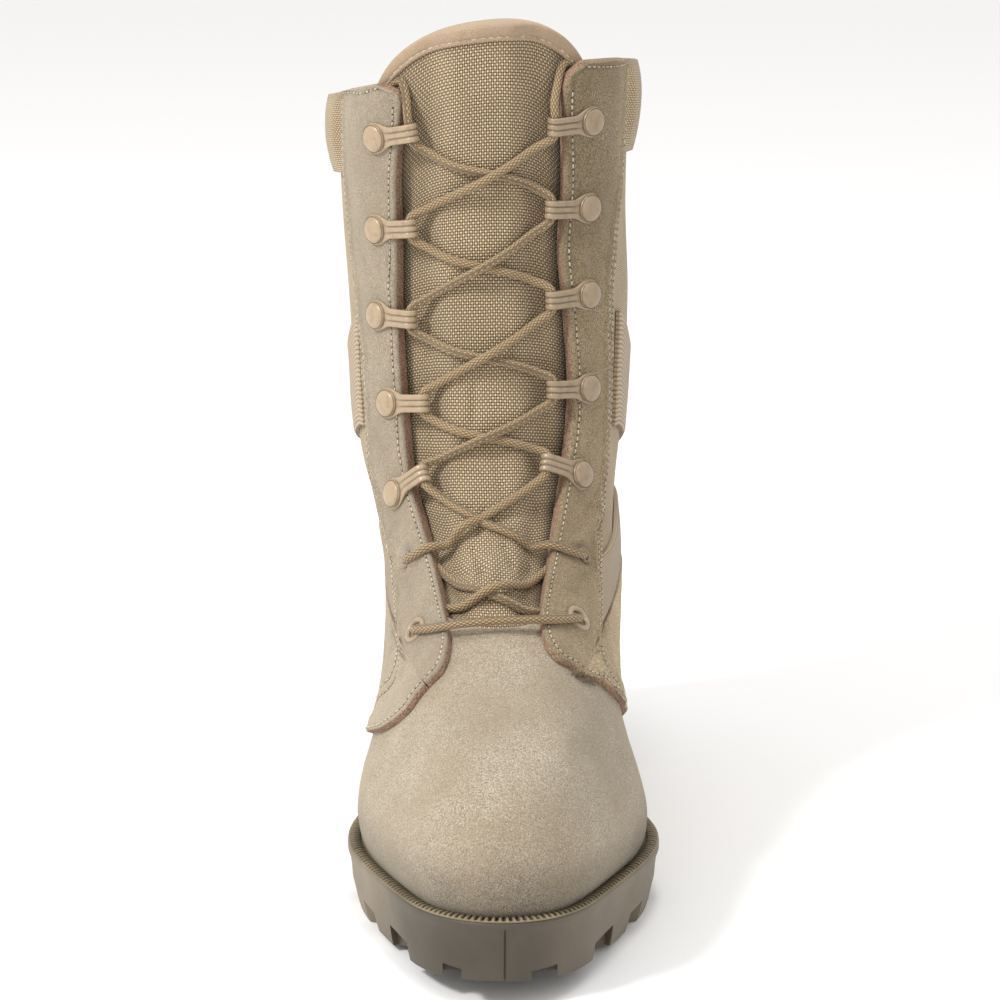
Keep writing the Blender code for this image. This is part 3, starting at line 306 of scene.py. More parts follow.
def mesh_of(name, points, faces, uv=None, marks=None, tone=None):
    """A mesh with UVs per vertex in millimetres, a material number per face, and a tone per vertex.

    Tone scales the colour: 1 for plain, below 1 for darker places and for painted shade on cloth that lies
    deep under an edge, in grooves and on the side away from the key lamp, and above 1 for painted light.
    """
    mesh = bpy.data.meshes.new(name)
    mesh.from_pydata(np.asarray(points).reshape(-1, 3).tolist(), [], [list(f) for f in faces])
    tones = np.ones(len(mesh.vertices), np.float32)
    if tone is not None:
        tones = np.asarray(tone, np.float32).ravel()
    mesh.attributes.new("tone", "FLOAT", "POINT").data.foreach_set("value", tones)
    if uv is not None:
        layer = mesh.uv_layers.new(name="cloth")
        corner = np.zeros(len(mesh.loops), np.int32)
        mesh.loops.foreach_get("vertex_index", corner)
        layer.data.foreach_set("uv", np.asarray(uv, np.float32).reshape(-1, 2)[corner].ravel())
    if marks is not None:
        mesh.polygons.foreach_set("material_index", np.asarray(marks, np.int32))
    mesh.update()
    return mesh


def wall_mesh(name, outer, inner, uv, tone=None):
    """A closed wall between two grids. Its rim has material 1, and its inner face has material 2."""
    rows, columns = outer.shape[:2]
    half = rows * columns
    i, j = np.meshgrid(np.arange(rows - 1), np.arange(columns - 1), indexing="ij")
    corner = i * columns + j
    quad = np.stack((corner, corner + 1, corner + columns + 1, corner + columns), -1)
    front = quad.reshape(-1, 4)
    faces = [front, front[:, ::-1] + half]
    marks = [np.zeros(len(front)), np.full(len(front), 2)]
    for rim, a, b in ((quad[0], 0, 1), (quad[:, -1], 1, 2), (quad[-1], 2, 3), (quad[:, 0], 3, 0)):
        faces.append(np.stack((rim[:, b], rim[:, a], rim[:, a] + half, rim[:, b] + half), -1))
        marks.append(np.ones(len(rim)))
    points = np.concatenate((outer.reshape(-1, 3), inner.reshape(-1, 3)))
    both = np.concatenate((uv.reshape(-1, 2), uv.reshape(-1, 2)))
    tone = np.ones(half) if tone is None else np.broadcast_to(tone, outer.shape[:2]).ravel()
    return mesh_of(name, points, np.concatenate(faces).tolist(), both, np.concatenate(marks),
                   np.concatenate((tone, tone)))


def crowded(count, ends=4, tight=0.25):
    """Shares from 0 to 1, closer together at both ends."""
    step = np.ones(count)
    for k in range(ends):
        step[k] = step[-1 - k] = tight + (1 - tight) * k / ends
    return np.concatenate(((0.0,), np.cumsum(step))) / step.sum()


def patch(rings, first, last, shares):
    """A grid on the upper between two edges: angles, rings, points, directions off and distances."""
    rings = np.asarray(rings, float)
    low, high = first(rings), last(rings)
    angle = low[:, None] + (high - low)[:, None] * shares[None, :]
    v = np.repeat(rings[:, None], len(shares), axis=1)
    at, off = surface(angle, v)
    across, up = run(at, 1), run(at, 0)
    return {"angle": angle, "v": v, "at": at, "off": off, "from_first": across,
            "from_last": across[:, -1:] - across, "from_low": up, "from_high": up[-1:] - up}


def patch_uv(g):
    """UVs in millimetres: along the row from its middle, and up the rows."""
    across = g["from_first"]
    start = across[:, across.shape[1] // 2]
    up = g["from_low"].mean(axis=1, keepdims=True)
    return np.stack(((across - start[:, None]) * 1000, np.broadcast_to(up, across.shape) * 1000), -1)


def rounded(distance, radius, thick):
    """Drop of a cut edge's shoulder at a distance from the edge."""
    return thick * (1 - np.clip(distance / radius, 0, 1)) ** 2.2


def laid_piece(name, g, thick, relief, materials, shoulder=CUT_SHOULDER, tone=None, near=None):
    """A sheet sewn on the upper, with rounded edges and relief in its outer face."""
    if near is None:
        near = np.minimum.reduce([g[key] for key in ("from_first", "from_last", "from_low", "from_high")])
    lift = LAY_GAP + thick + relief - rounded(near, shoulder, 0.45 * thick)
    g["outer"] = g["at"] + g["off"] * lift[..., None]
    inner = g["at"] + g["off"] * SEWN_DOWN
    return add_piece(name, wall_mesh(name, g["outer"], inner, patch_uv(g), tone), materials, name)


def band(levels, count):
    """Faces between closed loops of points, each beyond the last."""
    return [(a + k, a + (k + 1) % count, a + count + (k + 1) % count, a + count + k)
            for a in range(0, (levels - 1) * count, count) for k in range(count)]


def tube(points, radius, sides):
    """Points, faces and UVs of a round cord along a line, closed at both ends."""
    line = np.asarray(points, float)
    ahead = unit(np.gradient(line, axis=0))
    side = unit(np.cross(ahead[0], (0.3, 0.2, 1.0)))
    length = travel(line)
    turns = np.linspace(0, 2 * np.pi, sides, endpoint=False)
    rows, uv = [], []
    for k, at in enumerate(line):
        side = unit(side - ahead[k] * np.dot(side, ahead[k]))
        other = np.cross(ahead[k], side)
        r = radius if np.isscalar(radius) else radius[k]
        rows.append(at + (np.cos(turns)[:, None] * side + np.sin(turns)[:, None] * other) * r)
        uv.append(np.stack((turns * 1000 * r, np.full(sides, length[k] * 1000)), -1))
    count = len(line)
    faces = band(count, sides)
    faces += [tuple(range(sides - 1, -1, -1)), tuple(range((count - 1) * sides, count * sides))]
    return np.concatenate(rows), faces, np.concatenate(uv)


def joined(parts):
    """Several (points, faces, uv) in one."""
    points, faces, uv, start = [], [], [], 0
    for p, f, t in parts:
        points.append(p)
        uv.append(t)
        faces += [tuple(k + start for k in face) for face in f]
        start += len(p)
    return np.concatenate(points), faces, np.concatenate(uv)


def add_joined(name, parts, material, node=None):
    """Several such parts as one piece."""
    points, faces, uv = joined(parts)
    return add_piece(name, mesh_of(name, points, faces, uv), [material], node, 60.0)


def face_out(mesh):
    """Turns a closed mesh's faces outwards."""
    work = bmesh.new()
    work.from_mesh(mesh)
    bmesh.ops.recalc_face_normals(work, faces=work.faces)
    work.to_mesh(mesh)
    work.free()
    return mesh


# Materials

def colour(code):
    """sRGB hex as linear RGBA."""
    parts = [int(code[k:k + 2], 16) / 255 for k in (0, 2, 4)]
    return tuple([p / 12.92 if p <= 0.04045 else ((p + 0.055) / 1.055) ** 2.4 for p in parts] + [1.0])


def put(tree, kind, inputs=None, stops=(), **settings):
    """Adds a node. An input is a value, a socket, or a node whose first output is meant.

    Stops are the places and hex colours of a colour ramp.
    """
    made = tree.nodes.new("ShaderNode" + kind)
    for name, value in settings.items():
        setattr(made, name, value)
    for key, value in (inputs or {}).items():
        if isinstance(value, bpy.types.Node):
            value = value.outputs[0]
        if isinstance(value, bpy.types.NodeSocket):
            tree.links.new(value, made.inputs[key])
        else:
            made.inputs[key].default_value = value
    while stops and len(made.color_ramp.elements) < len(stops):
        made.color_ramp.elements.new(0.5)
    for k, (place, code) in enumerate(stops):
        made.color_ramp.elements[k].position = place
        made.color_ramp.elements[k].color = colour(code)
    return made


def start_material(name, **values):
    """A material with its shader's own sockets set, and its tree and shader."""
    material = bpy.data.materials.new(name)
    material.use_nodes = True
    tree = material.node_tree
    shader = tree.nodes["Principled BSDF"]
    for key, value in values.items():
        shader.inputs[key.replace("_", " ")].default_value = value
    return material, tree, shader


def toned(tree, base):
    """A colour scaled by the mesh's own tone, which holds painted light and painted shade."""
    tone = put(tree, "Attribute", attribute_name="tone").outputs["Fac"]
    return put(tree, "VectorMath", {0: base, 3: tone}, operation="SCALE")


def finish_material(material, base, height, strength, depth):
    """Links a colour, and a relief whose full height is depth in metres, to the shader."""
    tree = material.node_tree
    shader = tree.nodes["Principled BSDF"]
    tree.links.new(base.outputs[0], shader.inputs["Base Color"])
    bump = put(tree, "Bump", {"Height": height, "Strength": strength, "Distance": depth})
    tree.links.new(bump.outputs[0], shader.inputs["Normal"])
    return material


def make_suede(name, low, middle, high, shade, nap=1.0):
    """Split cowhide, sanded to a nap: no gloss, soft light and dark patches where it was brushed,
    and fine curly fibres that catch the light in specks."""
    material, tree, shader = start_material(name, Roughness=0.93, IOR=1.5, Sheen_Weight=0.35,
                                            Sheen_Roughness=0.5, Specular_IOR_Level=0.18,
                                            Sheen_Tint=colour("E9DFCB"))
    place = put(tree, "TexCoord").outputs["Object"]
    # brush marks are 20 to 40 mm across, lumps of nap about 1 mm, and fibres 0.35 mm, one render pixel
    patches = put(tree, "TexNoise", {"Vector": place, "Scale": 38.0, "Detail": 3.0, "Roughness": 0.6})
    lumps = put(tree, "TexNoise", {"Vector": place, "Scale": 1250.0, "Detail": 2.0, "Roughness": 0.6})
    fibres = put(tree, "TexNoise", {"Vector": place, "Scale": 2700.0, "Detail": 1.0, "Distortion": 0.6})
    soft = put(tree, "Math", {0: lumps, 1: 0.5}, operation="MULTIPLY")
    grain = put(tree, "Math", {0: fibres, 1: 1.1, 2: soft}, operation="MULTIPLY_ADD")
    tone = put(tree, "MapRange", {"Value": grain, "From Min": 0.56, "From Max": 1.04})
    body = put(tree, "ValToRGB", {"Fac": tone}, ((0.0, low), (0.5, middle), (1.0, high)))
    worn = put(tree, "MapRange", {"Value": patches, "From Min": 0.36, "From Max": 0.70,
                                  "To Min": 0.0, "To Max": 0.55})
    mixed = put(tree, "Mix", {0: worn, 6: body, 7: colour(shade)}, data_type="RGBA", blend_type="MIX")
    tree.links.new(toned(tree, mixed.outputs[2]).outputs[0], shader.inputs["Base Color"])
    bump = put(tree, "Bump", {"Height": grain, "Strength": 0.55 * nap, "Distance": 0.0004})
    wide = put(tree, "Bump", {"Height": patches, "Strength": 0.15, "Distance": 0.002, "Normal": bump})
    tree.links.new(wide.outputs[0], shader.inputs["Normal"])
    return material


def make_cut_edge():
    """Raw edge of the split, where the knife went through: pinkish brown, matte, fibrous in layers."""
    material, tree, _ = start_material("cut_leather_edge", Roughness=0.95)
    place = put(tree, "TexCoord").outputs["Object"]
    fibres = put(tree, "TexNoise", {"Vector": place, "Scale": 1500.0, "Detail": 3.0})
    base = put(tree, "ValToRGB", {"Fac": fibres}, ((0.3, "634A3B"), (0.5, "8C6E5B"), (0.7, "AC8F79")))
    return finish_material(material, base, fibres, 0.6, 0.0005)


def make_weave(name, pitch_across, pitch_up, gap, under, over, crown, strength=0.8):
    """Plain weave of thick nylon yarn, with its pitch in mm: each crossing is a small rounded knuckle.

    Where the warp is on top it catches the light, where the weft is it stays a shade darker, and
    the gaps are dark.
    """
    material, tree, _ = start_material(name, Roughness=0.62, Sheen_Weight=0.15, Specular_IOR_Level=0.35)
    place = put(tree, "UVMap", uv_map="cloth").outputs[0]
    # no yarn runs quite straight, so the place is shifted by up to half a millimetre
    drift = put(tree, "TexNoise", {"Vector": place, "Scale": 0.16, "Detail": 2.0})
    shift = put(tree, "VectorMath", {0: drift.outputs["Color"], 3: 0.55}, operation="SCALE")
    moved = put(tree, "VectorMath", {0: place, 1: shift}, operation="ADD")
    parts = put(tree, "SeparateXYZ", {0: moved})
    waves = []
    for side, pitch in enumerate((pitch_across, pitch_up)):
        turn = put(tree, "Math", {0: parts.outputs[side], 1: math.pi / pitch}, operation="MULTIPLY")
        waves.append(put(tree, "Math", {0: turn}, operation="SINE"))
    knot = put(tree, "Math", {0: waves[0], 1: waves[1]}, operation="MULTIPLY")
    shade = put(tree, "MapRange", {"Value": knot, "From Min": -1.0, "From Max": 1.0})
    base = put(tree, "ValToRGB", {"Fac": shade},
               ((0.0, under), (0.28, under), (0.43, gap), (0.56, gap), (0.66, over), (0.9, crown)))
    patches = put(tree, "TexNoise", {"Vector": place, "Scale": 0.05, "Detail": 3.0})
    dull = put(tree, "MapRange", {"Value": patches, "From Min": 0.3, "From Max": 0.75,
                                  "To Min": 1.06, "To Max": 0.84})
    faded = put(tree, "VectorMath", {0: base, 3: dull}, operation="SCALE")
    height = put(tree, "Math", {0: knot}, operation="ABSOLUTE")
    raised = put(tree, "Math", {0: knot, 1: 0.35, 2: height}, operation="MULTIPLY_ADD")
    return finish_material(material, toned(tree, faded.outputs[0]), raised, strength, 0.0005)


def make_webbing(name, pitch, valley, crest):
    """Woven nylon tape: close ribs straight across it, with a faint cross thread in each; the valleys between
    the ribs are painted darker as shade and the crests lighter as highlight.
    """
    material, tree, _ = start_material(name, Roughness=0.6, Sheen_Weight=0.15, Specular_IOR_Level=0.35)
    parts = put(tree, "SeparateXYZ", {0: put(tree, "UVMap", uv_map="cloth")})
    turn = put(tree, "Math", {0: parts.outputs[1], 1: math.pi / pitch}, operation="MULTIPLY")
    rib = put(tree, "Math", {0: put(tree, "Math", {0: turn}, operation="SINE")}, operation="ABSOLUTE")
    across = put(tree, "Math", {0: parts.outputs[0], 1: 2 * math.pi / WARP_PITCH}, operation="MULTIPLY")
    thread = put(tree, "Math", {0: across}, operation="SINE")
    height = put(tree, "Math", {0: thread, 1: 0.12, 2: rib}, operation="MULTIPLY_ADD")
    base = put(tree, "ValToRGB", {"Fac": height}, ((0.1, valley), (0.8, crest)))
    return finish_material(material, toned(tree, base), height, 0.8, 0.0005)


def make_braid(name, low, high):
    """Round braided nylon cord: yarns cross each other on both slants, with painted highlights on their backs
    and painted shade where they cross.
    """
    material, tree, _ = start_material(name, Roughness=0.6, Sheen_Weight=0.2, Specular_IOR_Level=0.35)
    parts = put(tree, "SeparateXYZ", {0: put(tree, "UVMap", uv_map="cloth")})
    turns = 2 * math.pi * BRAID_YARNS / LACE_GIRTH
    around = put(tree, "Math", {0: parts.outputs[0], 1: turns}, operation="MULTIPLY")
    ahead = put(tree, "Math", {0: parts.outputs[1], 1: 2 * math.pi / BRAID_PITCH}, operation="MULTIPLY")
    slants = []
    for way in ("ADD", "SUBTRACT"):
        both = put(tree, "Math", {0: around, 1: ahead}, operation=way)
        half = put(tree, "Math", {0: both, 1: 0.5}, operation="MULTIPLY")
        slants.append(put(tree, "Math", {0: half}, operation="SINE"))
    knot = put(tree, "Math", {0: slants[0], 1: slants[1]}, operation="MULTIPLY")
    height = put(tree, "Math", {0: knot}, operation="ABSOLUTE")
    base = put(tree, "ValToRGB", {"Fac": height}, ((0.02, low), (0.75, high)))
    return finish_material(material, base, height, 0.8, 0.0004)


def make_rubber(name, light, dark):
    """Moulded rubber: an even satin skin and faint mould marks, scaled by the mesh's tone, which holds
    painted shade in the low places and painted light on the lit side.
    """
    material, tree, _ = start_material(name, Roughness=0.55, IOR=1.52, Specular_IOR_Level=0.3)
    place = put(tree, "TexCoord").outputs["Object"]
    marks = put(tree, "TexNoise", {"Vector": place, "Scale": 45.0, "Detail": 5.0, "Roughness": 0.6})
    fine = put(tree, "TexNoise", {"Vector": place, "Scale": 1600.0, "Detail": 2.0})
    base = put(tree, "ValToRGB", {"Fac": marks}, ((0.3, dark), (0.72, light)))
    return finish_material(material, toned(tree, base), fine, 0.18, 0.0003)


def make_enamel(name, light, dark):
    """Tan enamel baked on stamped steel: smooth and a little glossy, scaled by the mesh's tone, which paints
    shade into its grooves and rims.
    """
    material, tree, _ = start_material(name, Roughness=0.36, Coat_Weight=0.2, Coat_Roughness=0.3)
    place = put(tree, "TexCoord").outputs["Object"]
    tone = put(tree, "TexNoise", {"Vector": place, "Scale": 420.0, "Detail": 3.0})
    base = put(tree, "ValToRGB", {"Fac": tone}, ((0.30, dark), (0.50, light)))
    return finish_material(material, toned(tree, base), tone, 0.12, 0.0003)


def make_thread(name, light, dark):
    """Bonded nylon sewing thread: thin, slightly shiny, too fine for its twist to show."""
    material, tree, shader = start_material(name, Roughness=0.5)
    place = put(tree, "TexCoord").outputs["Object"]
    tone = put(tree, "TexNoise", {"Vector": place, "Scale": 300.0, "Detail": 2.0})
    base = put(tree, "ValToRGB", {"Fac": tone}, ((0.35, dark), (0.6, light)))
    tree.links.new(base.outputs[0], shader.inputs["Base Color"])
    return material


# Spacings in mm: threads across the tape, yarns round the lace, its girth, and one turn of a yarn
WARP_PITCH, BRAID_YARNS, LACE_GIRTH, BRAID_PITCH = 0.7, 8, 10.05, 2.2
SUEDE = make_suede("sanded_split_suede", "73664F", "9D917F", "C8BCAA", "8F7F69")
OUTER_SUEDE = make_suede("brushed_split_suede", "75684F", "928676", "AFA28F", "847765", nap=0.8)
# the inner side's suede has a coarser nap, and its darker colours are partly painted shade for the side away
# from the key lamp
INNER_SUEDE = make_suede("rough_split_suede", "54462F", "8B7A60", "B5A383", "7D6C52", nap=1.4)
EDGE = make_cut_edge()
TONGUE_CLOTH = make_weave("thick_nylon_plain_weave", 0.865, 1.10, "38281A", "A58D6C", "CCB48C", "E6D0AB")
SHAFT_CLOTH = make_weave("nylon_duck_plain_weave", 0.62, 0.78, "6A563B", "A7906F", "C9B28C", "DCC8A2",
                         strength=0.6)
LINING = make_weave("lining_cloth", 0.9, 0.9, "3B2E22", "54432F", "6A563A", "75603F", strength=0.3)
TAPE = make_webbing("ribbed_nylon_tape", 1.1, "857159", "B19C7F")
BINDING = make_suede("binding_leather", "8F7A63", "A68F77", "B49E86", "98826A", nap=0.2)
BRAID = make_braid("braided_nylon_cord", "604B30", "B39973")
RUBBER = make_rubber("moulded_olive_rubber", "827666", "736857")
RIM_RUBBER = make_rubber("ribbed_rubber_rim", "857860", "685C46")
ENAMEL = make_enamel("baked_tan_enamel", "A69074", "978266")
THREAD = make_thread("bonded_nylon_thread", "C2B59F", "978A73")
# the needle holes are near black: painted shade
NEEDLE_HOLE_SHADE = make_thread("needle_hole_painted_shade", "4A3B2D", "2E241B")
FRAY = make_thread("frayed_suede_fibres", "85755F", "5A4D3F")
INSOLE_CLOTH = make_weave("insole_cloth", 0.9, 0.9, "30261C", "4B3D2C", "5C4C34", "66553A", strength=0.3)


# Leather

def vamp_relief(angle, v, at):
    """Listed soft dips and swells of the vamp, in metres."""
    rounds = swells(angle, v, (
        (0.0, 6.3, -0.0006, 26.0, 0.5),
        (-30.0, 5.2, 0.0005, 14.0, 0.7),
        (34.0, 5.0, 0.0005, 14.0, 0.7),
        (12.0, 4.4, 0.0005, 18.0, 0.6),
        (-14.0, 4.9, -0.0004, 12.0, 0.4),
        (60.0, 3.6, -0.0005, 12.0, 0.8),
        (-62.0, 3.4, -0.0005, 12.0, 0.8),
    ))
    creases = folds(at, (
        (20.0, 7.0, 44.0, 5.2, 2.6, -0.5), (-22.0, 6.9, -42.0, 5.3, 2.4, -0.4),
        (-16.0, 6.3, 18.0, 6.5, 3.5, -0.5), (-34.0, 5.1, -6.0, 5.6, 4.0, 0.4),
        (30.0, 5.0, 8.0, 5.7, 4.0, 0.4), (40.0, 4.4, 62.0, 3.2, 4.5, -0.6),
        (-42.0, 4.2, -60.0, 3.0, 4.5, -0.5), (-6.0, 5.0, 14.0, 5.1, 3.0, -0.35),
    ))
    return rounds + creases + 0.0003 * mottle(at, 0.016, 3) + 0.0001 * mottle(at, 0.005, 4)


def make_vamp():
    """Vamp: from the feather line to the throat, and back under the quarters."""
    rings = np.concatenate((np.linspace(0, 6.2, 78), np.linspace(6.2, VAMP_TOP, 26)[1:]))

    def edge(side):
        return lambda v: side * np.where(v < 5.6, 104.0, 104.0 - 58.0 * ease((v - 5.6) / 1.2))

    shares = np.linspace(0, 1, 221)
    g = patch(rings, edge(-1), edge(1), shares)
    hem = rounded(g["from_high"], CUT_SHOULDER, 0.0010) * (np.abs(g["angle"]) < 40)
    # the suede bulges over the rim all round the toe
    bulge = 0.0016 * bell(g["v"] - 0.35, 0.55) * bell(g["angle"], 62.0)
    lift = vamp_relief(g["angle"], g["v"], g["at"]) - hem + bulge
    outer = g["at"] + g["off"] * lift[..., None]
    inner = g["at"] - g["off"] * UPPER_WALL * 0.98
    # the vamp is darker towards the feather line, with soft brown patches at random, and painted shade
    # darkens its inner side, away from the key lamp
    tone = 0.44 + 0.56 * ease((g["v"] + 0.2 * mottle(g["at"], 0.012, 6)) / 2.3)
    tone = tone * (1.0 + 0.05 * mottle(g["at"], 0.020, 7) + 0.03 * mottle(g["at"], 0.007, 9))
    tone = tone * (1.0 - 0.16 * ease(np.sin(np.radians(g["angle"])) * 1.6 - 0.4))
    mesh = wall_mesh("vamp", outer, inner, patch_uv(g), tone)
    add_piece("vamp", mesh, [SUEDE, EDGE, LINING], "upper")


def make_shaft():
    """Nylon shaft: from the vamp and quarters up to the collar, open along the throat."""
    rings = np.concatenate((np.linspace(0.0, 5.4, 30), np.linspace(5.4, 13.6, 90)[1:],
                            (13.75, 13.9, COLLAR)))

    def edge(side, v):
        low = 101.0 - 51.0 * ease((v - 5.6) / 1.2)
        behind = curve(THROAT[side], v)
        return np.where(v < VAMP_TOP, np.maximum(low, behind + 4.0), behind + 0.4)

    g = patch(rings, lambda v: edge(1, v), lambda v: 360.0 - edge(-1, v), crowded(170, 3, 0.4))
    waves = 0.0004 * mottle(g["at"] * (1, 1, 0.6), 0.022, 8) * ease((g["v"] - 6.5) / 1.5)
    outer = g["at"] + g["off"] * (waves - 0.0001)[..., None]
    inner = g["at"] - g["off"] * UPPER_WALL
    mesh = wall_mesh("shaft", outer, inner, patch_uv(g))
    add_piece("shaft", mesh, [SHAFT_CLOTH, EDGE, LINING], "upper")


def facing_grid(side):
    """Grid of one eyestay, finest at its foot and at its top corner."""
    rings = np.concatenate((np.linspace(FACING_FOOT - 0.05, 7.6, 72), np.linspace(7.6, 13.45, 170)[1:],
                            np.linspace(13.45, COLLAR, 34)[1:]))
    return patch(rings, lambda v: throat(side, v), lambda v: facing_back(side, v), crowded(44, 6, 0.3))


FACING_FOLDS = {   # angle and ring of both ends, width in mm, share of the height
    -1: ((-52.0, 12.5, -44.0, 12.3, 2.6, -0.5), (-54.0, 11.4, -44.0, 11.4, 2.6, -0.45),
         (-50.0, 10.4, -42.0, 10.2, 2.4, -0.4), (-60.0, 9.4, -48.0, 8.9, 2.6, -0.6),
         (-56.0, 8.6, -50.0, 8.4, 2.0, -0.6), (-38.0, 8.5, -46.0, 8.2, 1.8, 0.5),
         (-60.0, 8.0, -50.0, 7.6, 2.6, -0.5), (-40.0, 7.5, -58.0, 7.0, 2.6, 0.4),
         (-38.0, 12.6, -36.0, 12.2, 2.0, 0.5), (-38.0, 10.6, -37.0, 10.2, 2.0, 0.5),
         (-36.0, 6.6, -46.0, 6.1, 2.2, 0.4)),
    1: ((52.0, 12.4, 42.0, 12.5, 2.6, -0.5), (54.0, 11.6, 42.0, 11.5, 2.6, -0.5),
        (52.0, 10.6, 42.0, 10.4, 2.4, -0.4), (58.0, 9.5, 46.0, 9.2, 2.4, -0.7),
        (58.0, 9.0, 45.0, 8.6, 1.8, 0.5), (60.0, 8.7, 52.0, 8.3, 1.8, -0.8),
        (56.0, 8.0, 46.0, 7.5, 2.4, -0.5), (60.0, 7.4, 50.0, 7.9, 2.0, 0.5),
        (36.0, 12.7, 38.0, 12.2, 2.0, 0.5), (38.0, 10.8, 37.0, 10.3, 2.0, 0.5),
        (38.0, 6.6, 48.0, 6.0, 2.2, 0.4)),
}


def leather_relief(side, at):
    """Waves, folds and the dips round the lower holes, one surface for the eyestay and the quarter, and a
    tone with random patches and painted shade in the dips round the holes.
    """
    relief = 0.0003 * mottle(at, 0.011, 5) + 0.0001 * mottle(at, 0.004, 9) + folds(at, FACING_FOLDS[side])
    tone = 1.0 + 0.05 * mottle(at, 0.012, 15) + 0.03 * mottle(at, 0.004, 16)
    for row in EYELETS:
        v, hole = row[:2] if side < 0 else row[2:]
        apart = np.linalg.norm(at - lifted(side * hole, v, 0.0), axis=-1)
        relief = relief + 0.0005 * bell(apart - 0.0062, 0.0022) - 0.0004 * bell(apart, 0.0040)
        # painted shade in the dip round each hole
        tone = tone - 0.22 * bell(apart, 0.0048)
    return relief, tone


def make_facing(side, name):
    """Eyestay: double rows and a soft ridge along its back edge, one row along the throat."""
    g = facing_grid(side)
    back, front, top = g["from_last"], g["from_first"], g["from_high"]
    rows = sum(bell(back - row, ROW_WIDTH) for row in BACK_ROWS) * (g["v"] > 6.3)
    inside = bell(front - FRONT_ROW, ROW_WIDTH) * (top > 0.0022)
    inside = inside + bell(top - FRONT_ROW, ROW_WIDTH) * (front > 0.0022)
    relief, tone = leather_relief(side, g["at"])
    relief = relief - ROW_DEPTH * rows - FRONT_DEPTH * inside
    relief = relief + 0.0008 * bell(back - 0.0062, 0.0013) * ease((g["v"] - 6.0) / 0.4)
    # painted shade in the stitch grooves
    tone = tone - 0.28 * rows - 0.22 * inside
    # painted shade darkens the inner eyestay towards its top, away from the key lamp; it is painted lighter
    # towards its back edge
    if side > 0:
        turned_back = ease((np.abs(g["angle"]) - 54.0) / 10.0)
        tone = tone * (1.0 - 0.20 * ease((g["v"] - 11.6) / 1.4) + 0.22 * turned_back)
    near = np.minimum(np.minimum(front, top), np.where(g["v"] > 6.4, back, 1.0))
    material = OUTER_SUEDE if side < 0 else INNER_SUEDE
    laid_piece(name, g, FACING_THICK, relief, [material, EDGE, EDGE], tone=tone, near=near)
    return g


def read_row(key, at, off, place):
    """A row of a grid read at a place along it: its point and the direction off it."""
    order = np.argsort(key)
    return [np.interp(place, key[order], side[order, k]) for side in (at, off) for k in range(3)]


def seam_line(g, row_distance, from_key, start=0.0, end=1.0):
    """Points and directions of a stitch row up a grid, at a distance from one of its side edges."""
    last = g["at"].shape[0] - 1
    part = slice(int(start * last), int(end * last) + 1)
    found = np.array([read_row(key, at, off, row_distance)
                      for key, at, off in zip(g[from_key][part], g["outer"][part], g["off"][part])
                      if key.max() >= row_distance])
    return found[:, :3], unit(found[:, 3:])


def cross_line(g, row_distance, start, end):
    """The same along the top edge of a grid, between two shares of its length."""
    turned_grid = (g[key].swapaxes(0, 1) for key in ("from_high", "outer", "off"))
    found = np.array([read_row(key, at, off, row_distance) for key, at, off in zip(*turned_grid)
                      if key.max() >= row_distance])
    found = found[int(start * len(found)):int(end * len(found)) + 1]
    return found[:, :3], unit(found[:, 3:])


def resample(points, offs, step):
    """A line and its directions at an even step."""
    length = travel(points)
    count = max(int(length[-1] / step), 1)
    at = np.linspace(0, length[-1], count + 1)
    return (np.stack([np.interp(at, length, points[:, k]) for k in range(3)], 1),
            unit(np.stack([np.interp(at, length, offs[:, k]) for k in range(3)], 1)))


def stitch_parts(points, offs, height, pitch=STITCH_PITCH):
    """Stitches along a line, each a short bent thread that rises and dips into its holes."""
    share, dip = 0.74, 0.0002       # of the pitch that the thread shows, and how deep its ends go
    line, off = resample(points, offs, pitch)
    parts = []
    for k in range(len(line) - 1):
        a, b = line[k], line[k + 1]
        middle = (a + b) / 2
        reach = (b - a) * share / 2
        up = unit(off[k] + off[k + 1])
        rows = []
        for s in (-1.0, -0.75, -0.35, 0.0, 0.35, 0.75, 1.0):
            rows.append(middle + reach * s + up * (height - (dip + THREAD_RADIUS) * s * s))
        radius = THREAD_RADIUS * np.array((0.45, 0.85, 1.0, 1.0, 1.0, 0.85, 0.45))
        parts.append(tube(rows, radius, 6))
    return parts


def hole_parts(points, offs, height):
    """A small pit at each end of a stitch, dark with painted shade."""
    radius, depth, sides = 0.00042, 0.0003, 8
    line, off = resample(points, offs, STITCH_PITCH)
    parts = []
    turns = np.linspace(0, 2 * np.pi, sides, endpoint=False)
    for at, up in zip(line, off):
        side = unit(np.cross(up, (0.13, 0.4, 0.9)))
        other = np.cross(up, side)
        round_way = np.cos(turns)[:, None] * side + np.sin(turns)[:, None] * other
        ring = at + up * (height + 0.00005) + round_way * radius
        faces = [tuple(range(sides)), tuple(range(2 * sides - 1, sides - 1, -1))]
        faces += [(k + sides, (k + 1) % sides + sides, (k + 1) % sides, k) for k in range(sides)]
        parts.append((np.concatenate((ring, ring - up * depth)), faces, np.zeros((2 * sides, 2))))
    return parts


# Rows of thread down the quarters, as (ring, angle), in line with the eyestay's back edge.
QUARTER_ROWS = {side: [[(v, side * (angle + aside))
                        for v, angle in ((3.9, 74.5), (4.6, 69.0), (5.3, 64.0), (6.1, 63.0))]
                       for aside in (0.0, 2.9)] for side in (1, -1)}
QUARTER_FOLDS = {side: ((side * 61.0, 6.1, side * 62.0, 5.3, 1.6, 0.7),
                        (side * 74.0, 5.4, side * 72.0, 4.4, 3.0, 0.5),
                        (side * 72.0, 6.0, side * 70.0, 5.6, 2.4, -0.6),
                        (side * 84.0, 4.6, side * 78.0, 3.0, 4.0, -0.6)) for side in (1, -1)}


